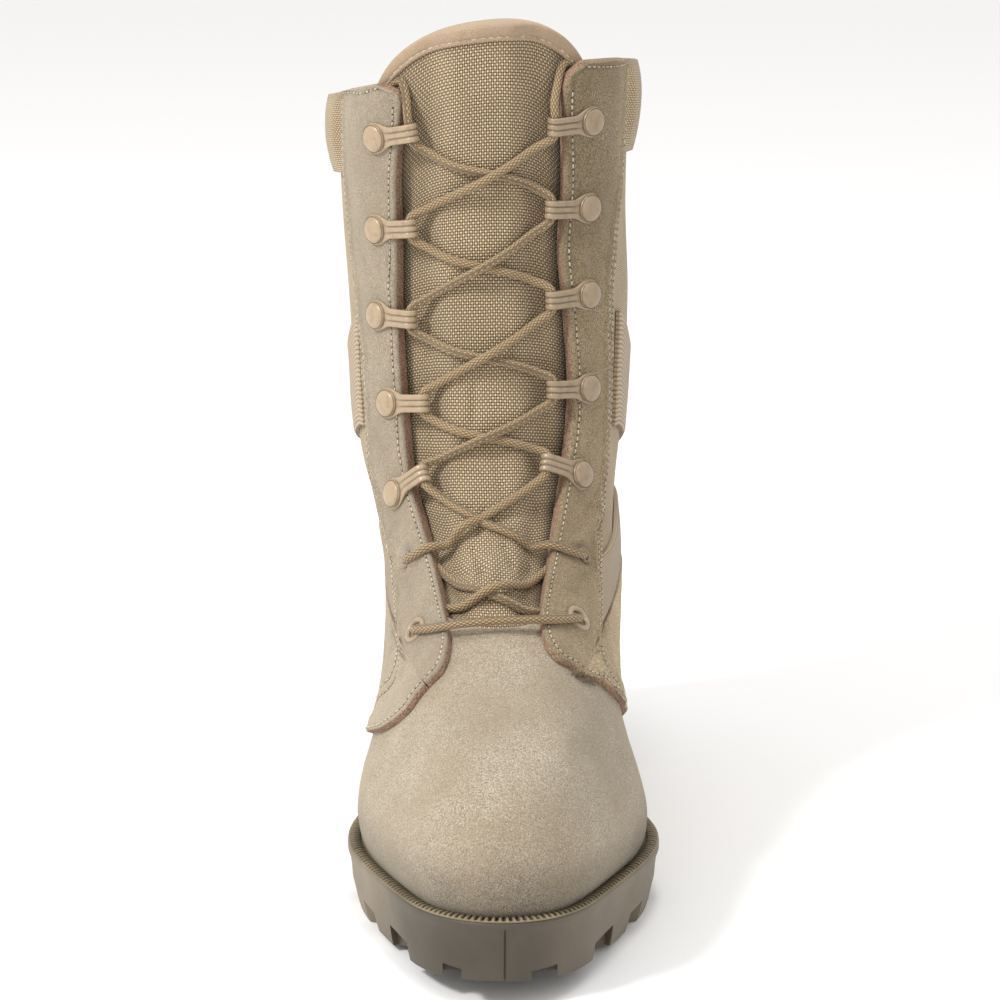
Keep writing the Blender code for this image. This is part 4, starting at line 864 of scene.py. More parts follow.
def angle_line(g, rows):
    """Points and directions of a stitch row given as (ring, angle) on a grid."""
    found = np.array([read_row(g["angle"][i], g["outer"][i], g["off"][i], curve(rows, v))
                      for i, v in enumerate(g["v"][:, 0]) if rows[0][0] <= v <= rows[-1][0]])
    return found[:, :3], unit(found[:, 3:])


def make_quarters():
    """Lower leather of both sides, from the rim up under the eyestay's foot."""
    rings = np.concatenate((np.linspace(ABOVE_WELT, FACING_FOOT, 70), (FACING_FOOT - 0.001,),
                            np.linspace(FACING_FOOT, QUARTER_TOP, 14)))
    grids = {}
    for side, name in ((1, "quarter_inner"), (-1, "quarter_outer")):
        def front(v, side=side):
            back = facing_back(side, np.maximum(v, FACING_FOOT)) - side * 2.0
            return np.where(v < FACING_FOOT, throat(side, v), back)

        g = patch(rings, front, lambda v, side=side: side * (curve(COUNTER_EDGE, v) - 0.5),
                  crowded(76, 5, 0.3))
        relief, tone = leather_relief(side, g["at"])
        inside = bell(g["from_first"] - FRONT_ROW, ROW_WIDTH) * (g["v"] < FACING_FOOT)
        # as thick as the eyestay along the front edge, and thinner behind
        thicker = (FACING_THICK - QUARTER_THICK) * (1 - ease((g["from_first"] - 0.012) / 0.010))
        relief = relief - FRONT_DEPTH * inside + thicker
        relief = relief + folds(g["at"], QUARTER_FOLDS[side])
        rows = 0.0
        for line in QUARTER_ROWS[side]:
            apart = np.abs(g["angle"] - curve(line, g["v"])) * 0.0009
            rows = rows + bell(apart, ROW_WIDTH) * (g["v"] > line[0][0]) * (g["v"] < line[-1][0])
        relief = relief - ROW_DEPTH * rows - 0.00008
        # painted shade in the stitch grooves
        tone = tone - 0.22 * inside - 0.25 * rows
        tone = tone * (1.14 if side < 0 else 1.26 + 0.25 * ease((g["angle"] - 66.0) / 20.0))
        near = np.where(g["v"] < FACING_FOOT, g["from_first"], 1.0)
        near = np.minimum(near, g["from_high"] + np.where(g["from_first"] < 0.004, 1.0, 0.0))
        material = OUTER_SUEDE if side < 0 else INNER_SUEDE
        laid_piece(name, g, QUARTER_THICK, relief, [material, EDGE, EDGE], tone=tone, near=near)
        grids[side] = g
    return grids


def make_counter():
    """Heel counter, with two rows of thread up each edge."""
    rings = np.linspace(ABOVE_WELT, COUNTER_TOP, 70)
    g = patch(rings, lambda v: curve(COUNTER_EDGE, v), lambda v: 360.0 - curve(COUNTER_EDGE, v),
              crowded(110, 5, 0.3))
    near = np.minimum(g["from_first"], g["from_last"])
    relief = -0.0003 * sum(bell(near - row, ROW_WIDTH) for row in COUNTER_ROWS)
    relief = relief + 0.0003 * mottle(g["at"], 0.015, 21) + 0.00008 * mottle(g["at"], 0.004, 22)
    laid_piece("heel_counter", g, COUNTER_THICK, relief, [OUTER_SUEDE, EDGE, EDGE])
    return g


# Webbing, collar and tongue

def make_tapes():
    """Lower and ankle tapes on both sides, and the backstay up the heel."""
    for side, word in ((1, "inner"), (-1, "outer")):
        g = patch(np.linspace(*LOWER_TAPE, 26), lambda v, side=side: facing_back(side, v),
                  lambda v, side=side: side * (curve(COUNTER_EDGE, v) - 0.5), crowded(90, 3, 0.4))
        relief = 0.00015 * mottle(g["at"], 0.012, 31)
        laid_piece("lower_tape_" + word, g, TAPE_THICK, relief, [TAPE] * 3, TAPE_SHOULDER)
        angles = np.linspace(ANKLE_TAPE[0][0], ANKLE_TAPE[-1][0], 90)
        low = curve([(a, r) for a, r, _ in ANKLE_TAPE], angles)
        high = curve([(a, r) for a, _, r in ANKLE_TAPE], angles)
        v = low[None, :] + (high - low)[None, :] * np.linspace(0, 1, 22)[:, None]
        angle = np.broadcast_to(side * angles[None, :], v.shape)
        at, off = surface(angle, v)
        if side < 0:
            at, off = at[:, ::-1], off[:, ::-1]
        across, up = run(at, 1), run(at, 0)
        g = {"at": at, "off": off, "from_first": across, "from_last": across[:, -1:] - across,
             "from_low": up, "from_high": up[-1:] - up}
        relief = 0.00015 * mottle(at, 0.012, 33)
        laid_piece("ankle_tape_" + word, g, TAPE_THICK, relief, [TAPE] * 3, TAPE_SHOULDER)
    rings = np.linspace(COUNTER_TOP + 0.12, COLLAR_BOTTOM - 0.1, 60)
    lean = BALL_HALF * ring_rows(rings)[:, 6]
    angles = np.linspace(150.0, 180.0, 61)
    reach = np.abs(ring_points(angles[None, :], rings[:, None])[..., 0] - lean[:, None])
    edge = np.array([np.interp(BACKSTAY_WIDTH / 2, reach[k][::-1], angles[::-1]) for k in range(len(rings))])
    table = list(zip(rings, edge))
    g = patch(rings, lambda v: curve(table, v), lambda v: 360.0 - curve(table, v), crowded(30, 3, 0.4))
    relief = 0.0001 * mottle(g["at"], 0.012, 35)
    laid_piece("backstay", g, TAPE_THICK, relief, [TAPE] * 3, TAPE_SHOULDER)


def make_collar():
    """Padded cuff: foam under nylon, sewn down along its lower edge and pulled in at both ends."""
    rings = np.linspace(COLLAR_BOTTOM, COLLAR, 40)
    g = patch(rings, lambda v: facing_back(1, v), lambda v: 360.0 + facing_back(-1, v), crowded(150, 5, 0.4))
    share = (g["v"] - COLLAR_BOTTOM) / (COLLAR - COLLAR_BOTTOM)
    swell = 0.22 + 0.82 * np.sin(np.pi * (0.06 + 0.84 * share)) ** 0.8
    ends = ease(np.minimum(g["from_first"], g["from_last"]) / 0.006)
    thick = COLLAR_THICK * (0.35 + (swell - 0.35) * ends)
    lift = LAY_GAP + thick + 0.0003 * mottle(g["at"], 0.014, 41)
    outer = g["at"] + g["off"] * lift[..., None]
    inner = g["at"] + g["off"] * SEWN_DOWN
    mesh = wall_mesh("collar", outer, inner, patch_uv(g))
    piece = add_piece("collar", mesh, [SHAFT_CLOTH] * 3, "collar")


TONGUE_FOOT, TONGUE_TOP, TONGUE_CORNER, BINDING_DEPTH = 7.05, 14.52, 14.03, 0.20
TONGUE_OVERLAP = {-1: 15.0, 1: 11.5}     # degrees that it reaches under the eyestays
TONGUE_THICK, TONGUE_SLACK, TONGUE_SWELL = 0.0060, 0.0010, 0.0016
TONGUE_COLUMNS = 90


def throat_edge(angle, v):
    """Angle of the throat's edge on the side of an angle."""
    v = np.minimum(v, 13.7)
    return np.where(angle >= 0, curve(THROAT[1], v), curve(THROAT[-1], v))


def tongue_lift(angle, v):
    """Lift of the padding, which lies deep under the eyestays and swells in the open throat."""
    start = np.clip((v - VAMP_TOP) / 0.6, 0.0, 1.0)
    edge = throat_edge(angle, v)
    free = np.clip((edge - 8.0 - np.abs(angle)) / (0.45 * edge), 0.0, 1.0)
    rise = (UPPER_WALL + TONGUE_SLACK + TONGUE_SWELL) * free * free * (3 - 2 * free)
    return -UPPER_WALL - LAY_GAP + (rise - TONGUE_SLACK) * start


def tongue_top(across):
    """Ring of the tongue's top edge, for a place across it from -1 to 1."""
    return TONGUE_TOP - (TONGUE_TOP - TONGUE_CORNER) * np.abs(across) ** 2.4


def tongue_relief(angle, v, at):
    """Bulges between the lace's crossings, and puckers where the lace draws the padding in."""
    rounds = swells(angle, v, (
        (-3.0, 12.9, 0.0009, 14.0, 0.45), (-3.0, 11.9, 0.0010, 13.0, 0.40), (-2.0, 10.8, 0.0009, 12.0, 0.36),
        (-2.0, 9.75, 0.0008, 12.0, 0.32), (2.0, 8.75, 0.0012, 11.0, 0.30),
        (-3.0, 10.95, -0.0008, 3.0, 0.13), (-5.0, 8.45, -0.0009, 2.5, 0.12), (9.0, 8.62, -0.0008, 2.5, 0.12),
        (-12.0, 8.1, -0.0006, 4.0, 0.10), (12.0, 8.15, -0.0006, 4.0, 0.10), (4.0, 9.30, -0.0006, 5.0, 0.08),
    ))
    creases = folds(at, (
        (-20.0, 12.55, -8.0, 12.42, 1.6, -0.5), (20.0, 12.5, 10.0, 12.35, 1.6, -0.5),
        (-24.0, 11.5, -10.0, 11.45, 1.7, -0.6), (24.0, 11.4, 10.0, 11.5, 1.7, -0.6),
        (-24.0, 10.5, -9.0, 10.45, 1.6, -0.6), (24.0, 10.3, 8.0, 10.45, 1.6, -0.6),
        (-4.0, 11.2, -5.0, 10.75, 1.5, -0.7), (-22.0, 9.6, -8.0, 9.5, 1.5, -0.6),
        (22.0, 9.5, 8.0, 9.4, 1.5, -0.6), (-8.0, 8.85, -4.0, 8.5, 1.3, -0.9),
        (6.0, 8.9, 10.0, 8.55, 1.3, -0.9), (1.0, 8.65, 1.0, 8.4, 2.2, 0.7),
        (-20.0, 8.55, -12.0, 8.45, 1.4, -0.6), (20.0, 8.6, 14.0, 8.5, 1.4, -0.6),
        (-2.0, 9.5, -5.0, 9.15, 1.4, -0.7), (-16.0, 7.95, 16.0, 8.2, 1.6, 0.5),
        (4.0, 10.1, 6.0, 9.8, 1.4, -0.4),
    ))
    return rounds + creases + 0.0003 * mottle(at, 0.014, 51)


def tongue_height(angle, v):
    """Lift of the tongue's finished face at one place."""
    cloth = float(tongue_lift(np.array(angle), np.array(v)))
    cloth += float(tongue_relief(np.array(angle), np.array(v), np.array(point(angle, v))))
    return cloth


def tongue_grid(start, end, rows):
    """Grid across the tongue between two edges, each a function of the place across it."""
    across = np.linspace(-1, 1, TONGUE_COLUMNS + 1)[None, :]
    share = np.linspace(0, 1, rows + 1)[:, None]
    v = start(across) + (end(across) - start(across)) * share
    overlap = np.where(across < 0, TONGUE_OVERLAP[-1], TONGUE_OVERLAP[1])
    angle = across * (throat_edge(np.broadcast_to(across, v.shape), v) + overlap)
    at, off = surface(angle, v)
    return at, off, angle, v


def make_tongue():
    """Tongue of thick nylon over padding, and the leather that binds its top edge."""
    foot, hem = lambda a: TONGUE_FOOT + 0 * a, lambda a: tongue_top(a) - BINDING_DEPTH
    at, off, angle, v = tongue_grid(foot, hem, 150)
    lift = tongue_lift(angle, v) + tongue_relief(angle, v, at)
    outer = at + off * lift[..., None]
    inner = at - off * (UPPER_WALL + LAY_GAP + TONGUE_THICK)
    across, up = run(at, 1), run(at, 0)
    middle = slice(TONGUE_COLUMNS // 2, TONGUE_COLUMNS // 2 + 1)
    uv = np.stack((across - across[:, middle], np.broadcast_to(up[:, middle], across.shape)), -1) * 1000
    # painted shade where the cloth dips under the eyestays and at its foot, with random tone patches
    hidden = throat_edge(angle, v) - np.abs(angle)
    deep = np.where(angle < 0, 0.08 + 0.50 * bell(v - 12.6, 0.8), 0.62)
    tone = 1.0 - 0.9 * deep * (1 - ease((hidden + 2.5) / np.where(angle < 0, 6.0, 8.0)))
    tone = tone * (1.0 + 0.04 * mottle(at, 0.010, 52)) * (1.0 - 0.25 * ease((7.75 - v) / 0.4))
    mesh = wall_mesh("tongue", outer, inner, uv, tone)
    piece = add_piece("tongue", mesh, [TONGUE_CLOTH, TONGUE_CLOTH, LINING], "tongue")
    # binding: leather folded over the top edge, thicker than the cloth and rolled at its rim
    rows, row_share = 30, 0.22
    at, off, angle, v = tongue_grid(lambda a: tongue_top(a) - BINDING_DEPTH - 0.02, tongue_top, rows)
    share = np.linspace(0, 1, rows + 1)[:, None]
    thick = 0.0010 * np.minimum(ease(share / 0.06) + 0.35, 1.0) + 0.0004 * bell(share - 0.55, 0.3)
    thick = thick - 0.0003 * bell(share - row_share, 0.06)
    roll = (1 - np.sqrt(np.clip(1 - np.clip((share - 0.80) / 0.20, 0, 1) ** 2, 0, 1)))
    lift = tongue_lift(angle, v) + thick - roll * 0.5 * TONGUE_THICK
    outer = at + off * lift[..., None]
    inner_lift = -(UPPER_WALL + LAY_GAP + TONGUE_THICK) - 0.0005 + roll * 0.42 * TONGUE_THICK
    inner = at + off * inner_lift[..., None]
    across = run(at, 1)
    uv = np.stack((across * 1000, np.broadcast_to(share * 5, across.shape)), -1)
    mesh = wall_mesh("tongue_binding", outer, inner, uv)
    add_piece("tongue_binding", mesh, [BINDING] * 3, "tongue_binding", 75.0)
    row = int(row_share * rows)
    line, offs = at[row] + off[row] * lift[row][:, None], off[row]
    add_joined("binding_stitches", stitch_parts(line, offs, 0.0001, pitch=0.0030), THREAD)


# Hooks, eyelets and lace

HOOK_BASE_RADIUS, HOOK_STRAP_WIDTH, HOOK_METAL = 0.0057, 0.0066, 0.0008
HOOK_REACH, HOOK_KNEE, HOOK_BEND = 0.0155, 0.0085, 12.0
RIVET_RADIUS, RIVET_HEIGHT = 0.0050, 0.0013
EYELET_RADIUS, EYELET_HOLE, EYELET_HEIGHT = 0.0054, 0.0030, 0.0011
LACE_RADIUS, LACE_CLEAR, LACE_CLIMB = 0.0016, 0.0004, 6.0
HOOKS = (   # ring, angle and turn of the outer hook, then of the inner one, from the top down
    (13.58, 39.8, 2.0, 13.57, 39.3, -4.0),
    (12.88, 42.2, 2.0, 12.99, 39.0, 2.0),
    (11.91, 43.6, 0.0, 12.11, 39.3, -2.0),
    (10.89, 39.5, 8.0, 11.07, 40.3, 6.0),
    (9.53, 43.5, 40.0, 9.87, 39.5, 28.0),
)
EYELETS = ((8.23, 48.3, 8.26, 49.0), (6.62, 50.5, 6.94, 47.0))     # ring and angle, outer then inner
LACE_STEP, LACE_SIDES = 0.0011, 12
LOW_CROSS, BAR_RISE = (8.46, 7.66), 0.62    # rings of the low crossing's ends, and how far the bar arches
LACE_HUMP = 1.9 * LACE_RADIUS       # rise of the strand that lies on the other


def frame_on_facing(angle, v, turn, lift):
    """A place on the eyestay, and the directions towards the throat, up the eyestay and off it."""
    at = point(angle, v, lift)
    off = (point(angle, v, lift + 0.001) - at).normalized()
    towards = point(angle - math.copysign(1.0, angle), v, lift) - at
    towards = (towards - off * towards.dot(off)).normalized()
    up = point(angle, v + 0.02, lift) - at
    up = (up - off * up.dot(off) - towards * up.dot(towards)).normalized()
    tilt = math.radians(turn)
    strap = towards * math.cos(tilt) + up * math.sin(tilt)
    across = up * math.cos(tilt) - towards * math.sin(tilt)
    return (at, strap, across, off)


def hook_places():
    """Ring, angle and turn of each hook by name."""
    found = {}
    for pair, row in enumerate(HOOKS, 1):
        found[f"outer_{pair}"] = (row[0], -row[1], row[2])
        found[f"inner_{pair}"] = (row[3], row[4], row[5])
    return found


def loop_centre(hook):
    """Middle of a hook's loop, and the directions along and off its bent end."""
    at, strap, across, off = hook
    bend = math.radians(HOOK_BEND)
    along = strap * math.cos(bend) - off * math.sin(bend)
    out = off * math.cos(bend) + strap * math.sin(bend)
    knee = at + strap * HOOK_KNEE + off * HOOK_METAL / 2
    centre = knee + along * (HOOK_REACH - HOOK_KNEE) - out * (LACE_RADIUS + LACE_CLEAR + HOOK_METAL / 2)
    return centre, along, out


def make_hook(name, hook):
    """Stamped strap with two pressed grooves, a round base, and an end curled round the lace."""
    at, strap, across, off = hook
    line = []
    for share in np.linspace(-1.0, 0.25, 16):
        reach = HOOK_BASE_RADIUS * share
        wide = math.sqrt(max(HOOK_BASE_RADIUS ** 2 - reach ** 2, (0.12 * HOOK_BASE_RADIUS) ** 2))
        line.append((at + strap * reach, off, wide, 0.0))
    for s in np.linspace(0.0, 1.0, 10)[1:]:
        reach = 0.25 * HOOK_BASE_RADIUS + (HOOK_KNEE - 0.25 * HOOK_BASE_RADIUS) * s
        start = HOOK_BASE_RADIUS * math.sqrt(1 - 0.25 ** 2)
        wide = start + (HOOK_STRAP_WIDTH / 2 - start) * float(ease(s) ** 0.8)
        line.append((at + strap * reach, off, wide, float(ease(s * 1.4 - 0.4))))
    centre, along, out = loop_centre(hook)
    curl = LACE_RADIUS + LACE_CLEAR + HOOK_METAL / 2
    line = [(p + off * HOOK_METAL / 2, lift, wide, groove) for p, lift, wide, groove in line]
    first = centre + out * curl
    last = line[-1][0]
    for s in np.linspace(0, 1, 6)[1:-1]:
        line.append((last.lerp(first, s), (off * (1 - s) + out * s).normalized(), HOOK_STRAP_WIDTH / 2, 1.0))
    for bend in np.linspace(90.0, -200.0, 26):
        turn = math.radians(bend)
        lift = along * math.cos(turn) + out * math.sin(turn)
        line.append((centre + lift * curl, lift, HOOK_STRAP_WIDTH / 2, 1.0))
    cross = np.linspace(-1, 1, 25)
    outer, inner, tones = [], [], []
    # painted shade: the inner hooks and rivets, on the side away from the key lamp, are darker, and so are
    # the pressed grooves
    shade = 1.0 if name.startswith("outer") else 0.80
    for place, lift, wide, groove in line:
        pressed = groove * (bell(cross - 0.34, 0.10) + bell(cross + 0.34, 0.10))
        ridge = 0.00012 * groove - 0.00045 * pressed
        tones.append(shade * (1.0 - 0.45 * pressed))
        shoulder = -0.00032 * np.clip((np.abs(cross) - 0.86) / 0.14, 0, 1) ** 2
        p = np.array(place)[None, :] + np.array(across)[None, :] * (cross * wide)[:, None]
        outer.append(p + np.array(lift)[None, :] * (HOOK_METAL / 2 + ridge + shoulder)[:, None])
        inner.append(p - np.array(lift)[None, :] * (HOOK_METAL / 2))
    outer, inner = np.array(outer), np.array(inner)
    uv = np.zeros(outer.shape[:2] + (2,))
    add_piece("hook_" + name, wall_mesh("hook_" + name, outer, inner, uv, np.array(tones)), [ENAMEL] * 3,
              "hook_" + name, 55.0)
    # the profile's tone paints shade into the groove near the rim and at the foot
    profile = (   # radius and height as shares of the rivet's, tone
        (0.0, 1.55, 1.0), (0.30, 1.50, 1.0), (0.55, 1.36, 1.0), (0.75, 1.12, 1.0), (0.86, 0.90, 1.0),
        (0.91, 0.70, 0.8), (0.93, 0.50, 0.45), (0.955, 0.50, 0.45), (0.97, 0.62, 1.0),
        (1.0, 0.45, 0.9), (1.0, 0.0, 0.5),
    )
    rows = [(r * RIVET_RADIUS * 1.06, HOOK_METAL + FIT_GAP * 0.2 + h * RIVET_HEIGHT) for r, h, _ in profile]
    mesh = turned("rivet_" + name, hook, rows, 40, [t * shade for _, _, t in profile])
    add_piece("rivet_" + name, mesh, [ENAMEL], "rivet_" + name, 60.0)


def turned(name, place, rows, count, tones):
    """A turned piece from (radius, height) rows, from its middle out to its foot, and their tones."""
    at, strap, across, off = (np.array(p) for p in place)
    turns = np.linspace(0, 2 * np.pi, count, endpoint=False)
    spokes = np.cos(turns)[:, None] * strap + np.sin(turns)[:, None] * across
    points = np.concatenate([at + off * h + spokes * max(r, 1e-5) for r, h in rows])
    last = len(points) - count
    faces = band(len(rows), count)
    faces += [tuple(range(count)), tuple(range(len(points) - 1, last - 1, -1))]
    uv = np.zeros((len(points), 2))
    return face_out(mesh_of(name, points, faces, uv, tone=np.repeat(tones, count)))


def make_eyelet(name, place, sunk):
    """Painted ring, its mouth a near-black disc of painted shade and its roll painted lighter on its crest
    and darker at its sides as highlight and shade. A sunk one lies in the leather, which has closed over it.
    """
    middle, half = (EYELET_RADIUS + EYELET_HOLE) / 2, (EYELET_RADIUS - EYELET_HOLE) / 2
    shrink = 0.60 if sunk else 1.0
    rows = [(0.0, -0.0012), (0.8 * EYELET_HOLE * shrink, -0.0012), (EYELET_HOLE * shrink, -0.0004)]
    # tones: painted shade in the mouth, and a painted highlight on the roll's crest with painted shade at its
    # sides
    tones = [0.05, 0.05, 0.25]
    for t in np.linspace(math.pi, 0.0, 11):
        height = EYELET_HEIGHT * math.sin(t) * (0.3 if sunk else 1.0)
        rows.append(((middle + half * math.cos(t)) * shrink, height))
        tones.append(0.45 + 0.5 * math.sin(t))
    rows.append((EYELET_RADIUS * shrink, -0.0014))
    tones.append(0.4)
    mesh = turned("eyelet_" + name, place, rows, 44, tones)
    leather = OUTER_SUEDE if name.startswith("outer") else INNER_SUEDE
    add_piece("eyelet_" + name, mesh, [leather if sunk else ENAMEL], "eyelet_" + name, 60.0)


def place_of(at, angle, v):
    """Angle and ring of the surface under a point, searched from a first guess."""
    for _ in range(10):
        here = point(angle, v)
        gap = at - here
        turn, rise = point(angle + 1.0, v) - here, point(angle, v + 0.05) - here
        tt, tr, rr = turn.dot(turn), turn.dot(rise), rise.dot(rise)
        gt, gr = gap.dot(turn), gap.dot(rise)
        whole = tt * rr - tr * tr
        angle += min(max((gt * rr - gr * tr) / whole, -8.0), 8.0)
        v += 0.05 * min(max((gr * tt - gt * tr) / whole, -10.0), 10.0)
    return angle, v


def lace_floor(angle, v):
    """Lift of what the lace lies on: the tongue, and the eyestay past the throat's edge."""
    edge = float(throat_edge(angle, v))
    climb = float(ease((abs(angle) - (edge - LACE_CLIMB - 2.0)) / 4.0))
    cloth = tongue_height(angle, v)
    return cloth + (LAY_GAP + FACING_THICK - cloth) * climb


def strand(start, end, over, start_place, end_place, count=16):
    """Points of the lace from one hook to the next, resting on the tongue or on the other strand."""
    points = []
    start_place, end_place = place_of(start, *start_place), place_of(end, *end_place)
    for i in range(1, count):
        share = i / count
        angle = start_place[0] + (end_place[0] - start_place[0]) * share
        v = start_place[1] + (end_place[1] - start_place[1]) * share
        v -= (0.0 if over else 0.032) * math.sin(2 * math.pi * share)
        hump = math.exp(-((share - 0.5) / 0.11) ** 2)
        height = lace_floor(angle, v) + LACE_RADIUS + 0.0002 + (LACE_HUMP * hump if over else 0.0)
        at = point(angle, v, height)
        off = (point(angle, v, height + 0.001) - at).normalized()
        near = start if share < 0.5 else end
        fade = max(1.0 - min(share, 1 - share) * count / 4.0, 0.0) ** 1.5
        points.append(at + off * max((near - at).dot(off), 0.0) * fade)
    return points


def smooth_line(points, step):
    """A smooth curve through points, with points at an even step."""
    p = np.array([list(q) for q in points])
    p = np.vstack((2 * p[0] - p[1], p, 2 * p[-1] - p[-2]))
    out = []
    for i in range(1, len(p) - 2):
        for s in np.linspace(0, 1, 8, endpoint=False):
            a, b, c, d = p[i - 1:i + 3]
            bend = (2 * a - 5 * b + 4 * c - d) * s ** 2
            out.append(0.5 * (2 * b + (c - a) * s + bend + (3 * b - a - 3 * c + d) * s ** 3))
    out.append(p[-2])
    out = np.array(out)
    length = travel(out)
    at = np.linspace(0, length[-1], max(int(length[-1] / step), 4))
    line = np.stack([np.interp(at, length, out[:, k]) for k in range(3)], 1)
    for _ in range(7):
        line[1:-1] = (line[:-2] + 2 * line[1:-1] + line[2:]) / 4
    return line


def lace_tube(line):
    """The cord along given points."""
    return tube(smooth_line(line, LACE_STEP), LACE_RADIUS, LACE_SIDES)


def make_hook_lace(frames):
    """The lace through the hooks, over and under itself, and down into the holes at the foot."""
    places = hook_places()
    tubes = []
    ends = {}
    for side in ("outer", "inner"):
        angle, v = (-EYELETS[0][1], EYELETS[0][0]) if side == "outer" else (EYELETS[0][3], EYELETS[0][2])
        ends[side] = (frame_on_facing(angle, v, 0.0, LAY_GAP + FACING_THICK), (angle, v))
    for names, foot, over in ((["outer_1", "inner_2", "outer_3", "inner_4", "outer_5"], "inner", False),
                              (["inner_1", "outer_2", "inner_3", "outer_4", "inner_5"], "outer", True)):
        line = []
        for name in names:
            at, strap, across, off = frames[name]
            centre = loop_centre(frames[name])[0]
            reach = across * 0.64 * HOOK_STRAP_WIDTH
            v, angle, _ = places[name]
            seen = math.copysign(abs(angle) - 17.0, angle)
            if line:
                line += strand(below, centre + reach, over, last_place, (seen, v + 0.2))
                over = not over
            else:
                behind = point(math.copysign(abs(seen) + 9.0, angle), v + 0.42, -UPPER_WALL - 0.0020)
                tip = point(math.copysign(abs(seen) + 16.0, angle), v + 0.36, -UPPER_WALL - 0.0022)
                rise = centre + reach * 2.0 - off * 0.0006
                line += [tip, behind, behind.lerp(rise, 0.55) - off * 0.0004, rise]
            line += [centre + reach, centre + reach * 0.4, centre - reach * 0.4, centre - reach]
            below, last_place = centre - reach, (seen, v - 0.2)
        place, (angle, v) = ends[foot]
        at, strap, across, off = place
        last = at + strap * 0.0030 + off * (LACE_RADIUS + 0.0001) + across * 0.0006
        line += strand(below, last, over, last_place, (angle, v))
        line += [last, at + off * LACE_RADIUS * 0.4 + strap * 0.0006, at - off * 0.0030 - strap * 0.0006]
        tubes.append(lace_tube(line))
    add_joined("lace_crossings", tubes, BRAID, "lace_crossings")


def make_low_lace():
    """The crossing under the eyestays, and the bar across the foot of the throat."""
    low = []
    for side, over in ((1, True), (-1, False)):
        first, last = (1.12 * float(throat(way * side, v)) for way, v in zip((1, -1), LOW_CROSS))
        line = []
        for share in np.linspace(0, 1, 18):
            angle = first + (last - first) * share
            v = LOW_CROSS[0] + (LOW_CROSS[1] - LOW_CROSS[0]) * share
            hump = LACE_HUMP * math.exp(-((share - 0.5) / 0.13) ** 2) if over else 0.0
            end = max(abs(share - 0.5) * 2 - 0.8, 0.0) / 0.2
            height = tongue_height(angle, v) + LACE_RADIUS + 0.0001 + hump - 0.0006 * end
            line.append(point(angle, v, height))
        low.append(lace_tube(line))
    add_joined("lace_low_cross", low, BRAID, "lace_low_cross")
    v_outer, outer, v_inner, inner = EYELETS[1]
    lift = LAY_GAP + FACING_THICK
    one, two = (frame_on_facing(a, v, 0.0, lift) for a, v in ((-outer, v_outer), (inner, v_inner)))
    # out of the hole: distances towards the throat and off the eyestay
    way_out = ((0.0002, -0.0022), (0.0004, 0.0004), (0.0026, 0.0026))
    bar = [one[0] + one[1] * ahead + one[3] * lift_off for ahead, lift_off in way_out]
    for share in np.linspace(0, 1, 17)[2:-2]:
        v = v_outer + (v_inner - v_outer) * share + BAR_RISE * math.sin(math.pi * share)
        bar.append(point(-outer + (inner + outer) * share, v, lift + LACE_RADIUS + 0.0003))
    bar += [two[0] + two[1] * ahead + two[3] * lift_off for ahead, lift_off in reversed(way_out)]
    add_joined("lace_bar", [lace_tube(bar)], BRAID, "lace_bar")


# Sole

WELT_LEDGE, WELT_RELIEF, WELT_THICK = 0.0055, 0.0014, 0.0020
SIDE_TAPER, LUG_DEPTH, TOE_NOTCH_DEPTH, CHANNEL_WIDTH = 0.0035, 0.0075, 0.0040, 0.0090
ARCH_RISE, HEEL_BEVEL = 0.013, 0.0015
TREAD_CHANNELS = (   # share of the length from the toe, turn, reach as a share of the ball, width
    (0.135, 38.0, 0.44, 0.0135), (0.235, 20.0, 0.56, 0.010), (0.335, 12.0, 0.62, 0.009),
    (0.435, 12.0, 0.62, 0.009), (0.835, -14.0, 0.34, 0.009), (0.915, -34.0, 0.30, 0.009),
)
CENTRE_CHANNELS = (0.185, 0.285, 0.385)             # share of the length from the toe
TOE_NOTCHES = ((-0.334, 0.125), (0.282, 0.172))     # sideways place and width, shares of the ball
RIM_PITCH = 0.00245


def feather(angles, grow, taper=0.0):
    """Plan of the last's bottom edge, moved out by grow, less a taper that fades at the toe."""
    at = ring_points(angles, 0.0)
    tangent = ring_points(angles + 0.7, 0.0) - ring_points(angles - 0.7, 0.0)
    out = unit(np.stack((tangent[:, 1], -tangent[:, 0], 0 * tangent[:, 0]), -1))
    faded = taper * np.minimum(1.6 * np.sin(np.radians(np.minimum(np.abs(angles), 90.0))) ** 2, 1.0)
    return (at + out * np.broadcast_to(grow - faded, len(angles))[:, None])[:, :2]


def stack_faces(levels, count):
    """Faces of a stack of outlines, closed at both ends by strips from side to side."""
    faces = band(levels, count)
    for start, flip in ((0, True), ((levels - 1) * count, False)):
        for j in range(count // 2):
            corners = [j, j + 1, (count - j - 1) % count, (count - j) % count]
            face = [start + k for i, k in enumerate(corners) if k not in corners[:i]]
            faces.append(tuple(reversed(face)) if flip else tuple(face))
    return faces


def even_angles(count):
    """Angles round the sole whose points lie an even distance apart."""
    dense = np.linspace(-180.0, 180.0, 2001)
    length = travel(feather(dense, WELT_LEDGE))
    return np.interp(np.linspace(0, length[-1], count, endpoint=False), length, dense)


def tread_bottom(y):
    """Height of the tread: flat, with the toe's spring and a bevel behind the heel."""
    toe = HEEL_BACK - LAST_LENGTH - WELT_LEDGE
    starts = HEEL_BACK - 0.70 * LAST_LENGTH
    past = np.maximum((starts - y) / (starts - toe), 0.0)
    heel = np.clip((y - 0.6 * HEEL_BACK) / (0.5 * HEEL_BACK), 0.0, 1.0)
    return TOE_SPRING * past * past + HEEL_BEVEL * heel


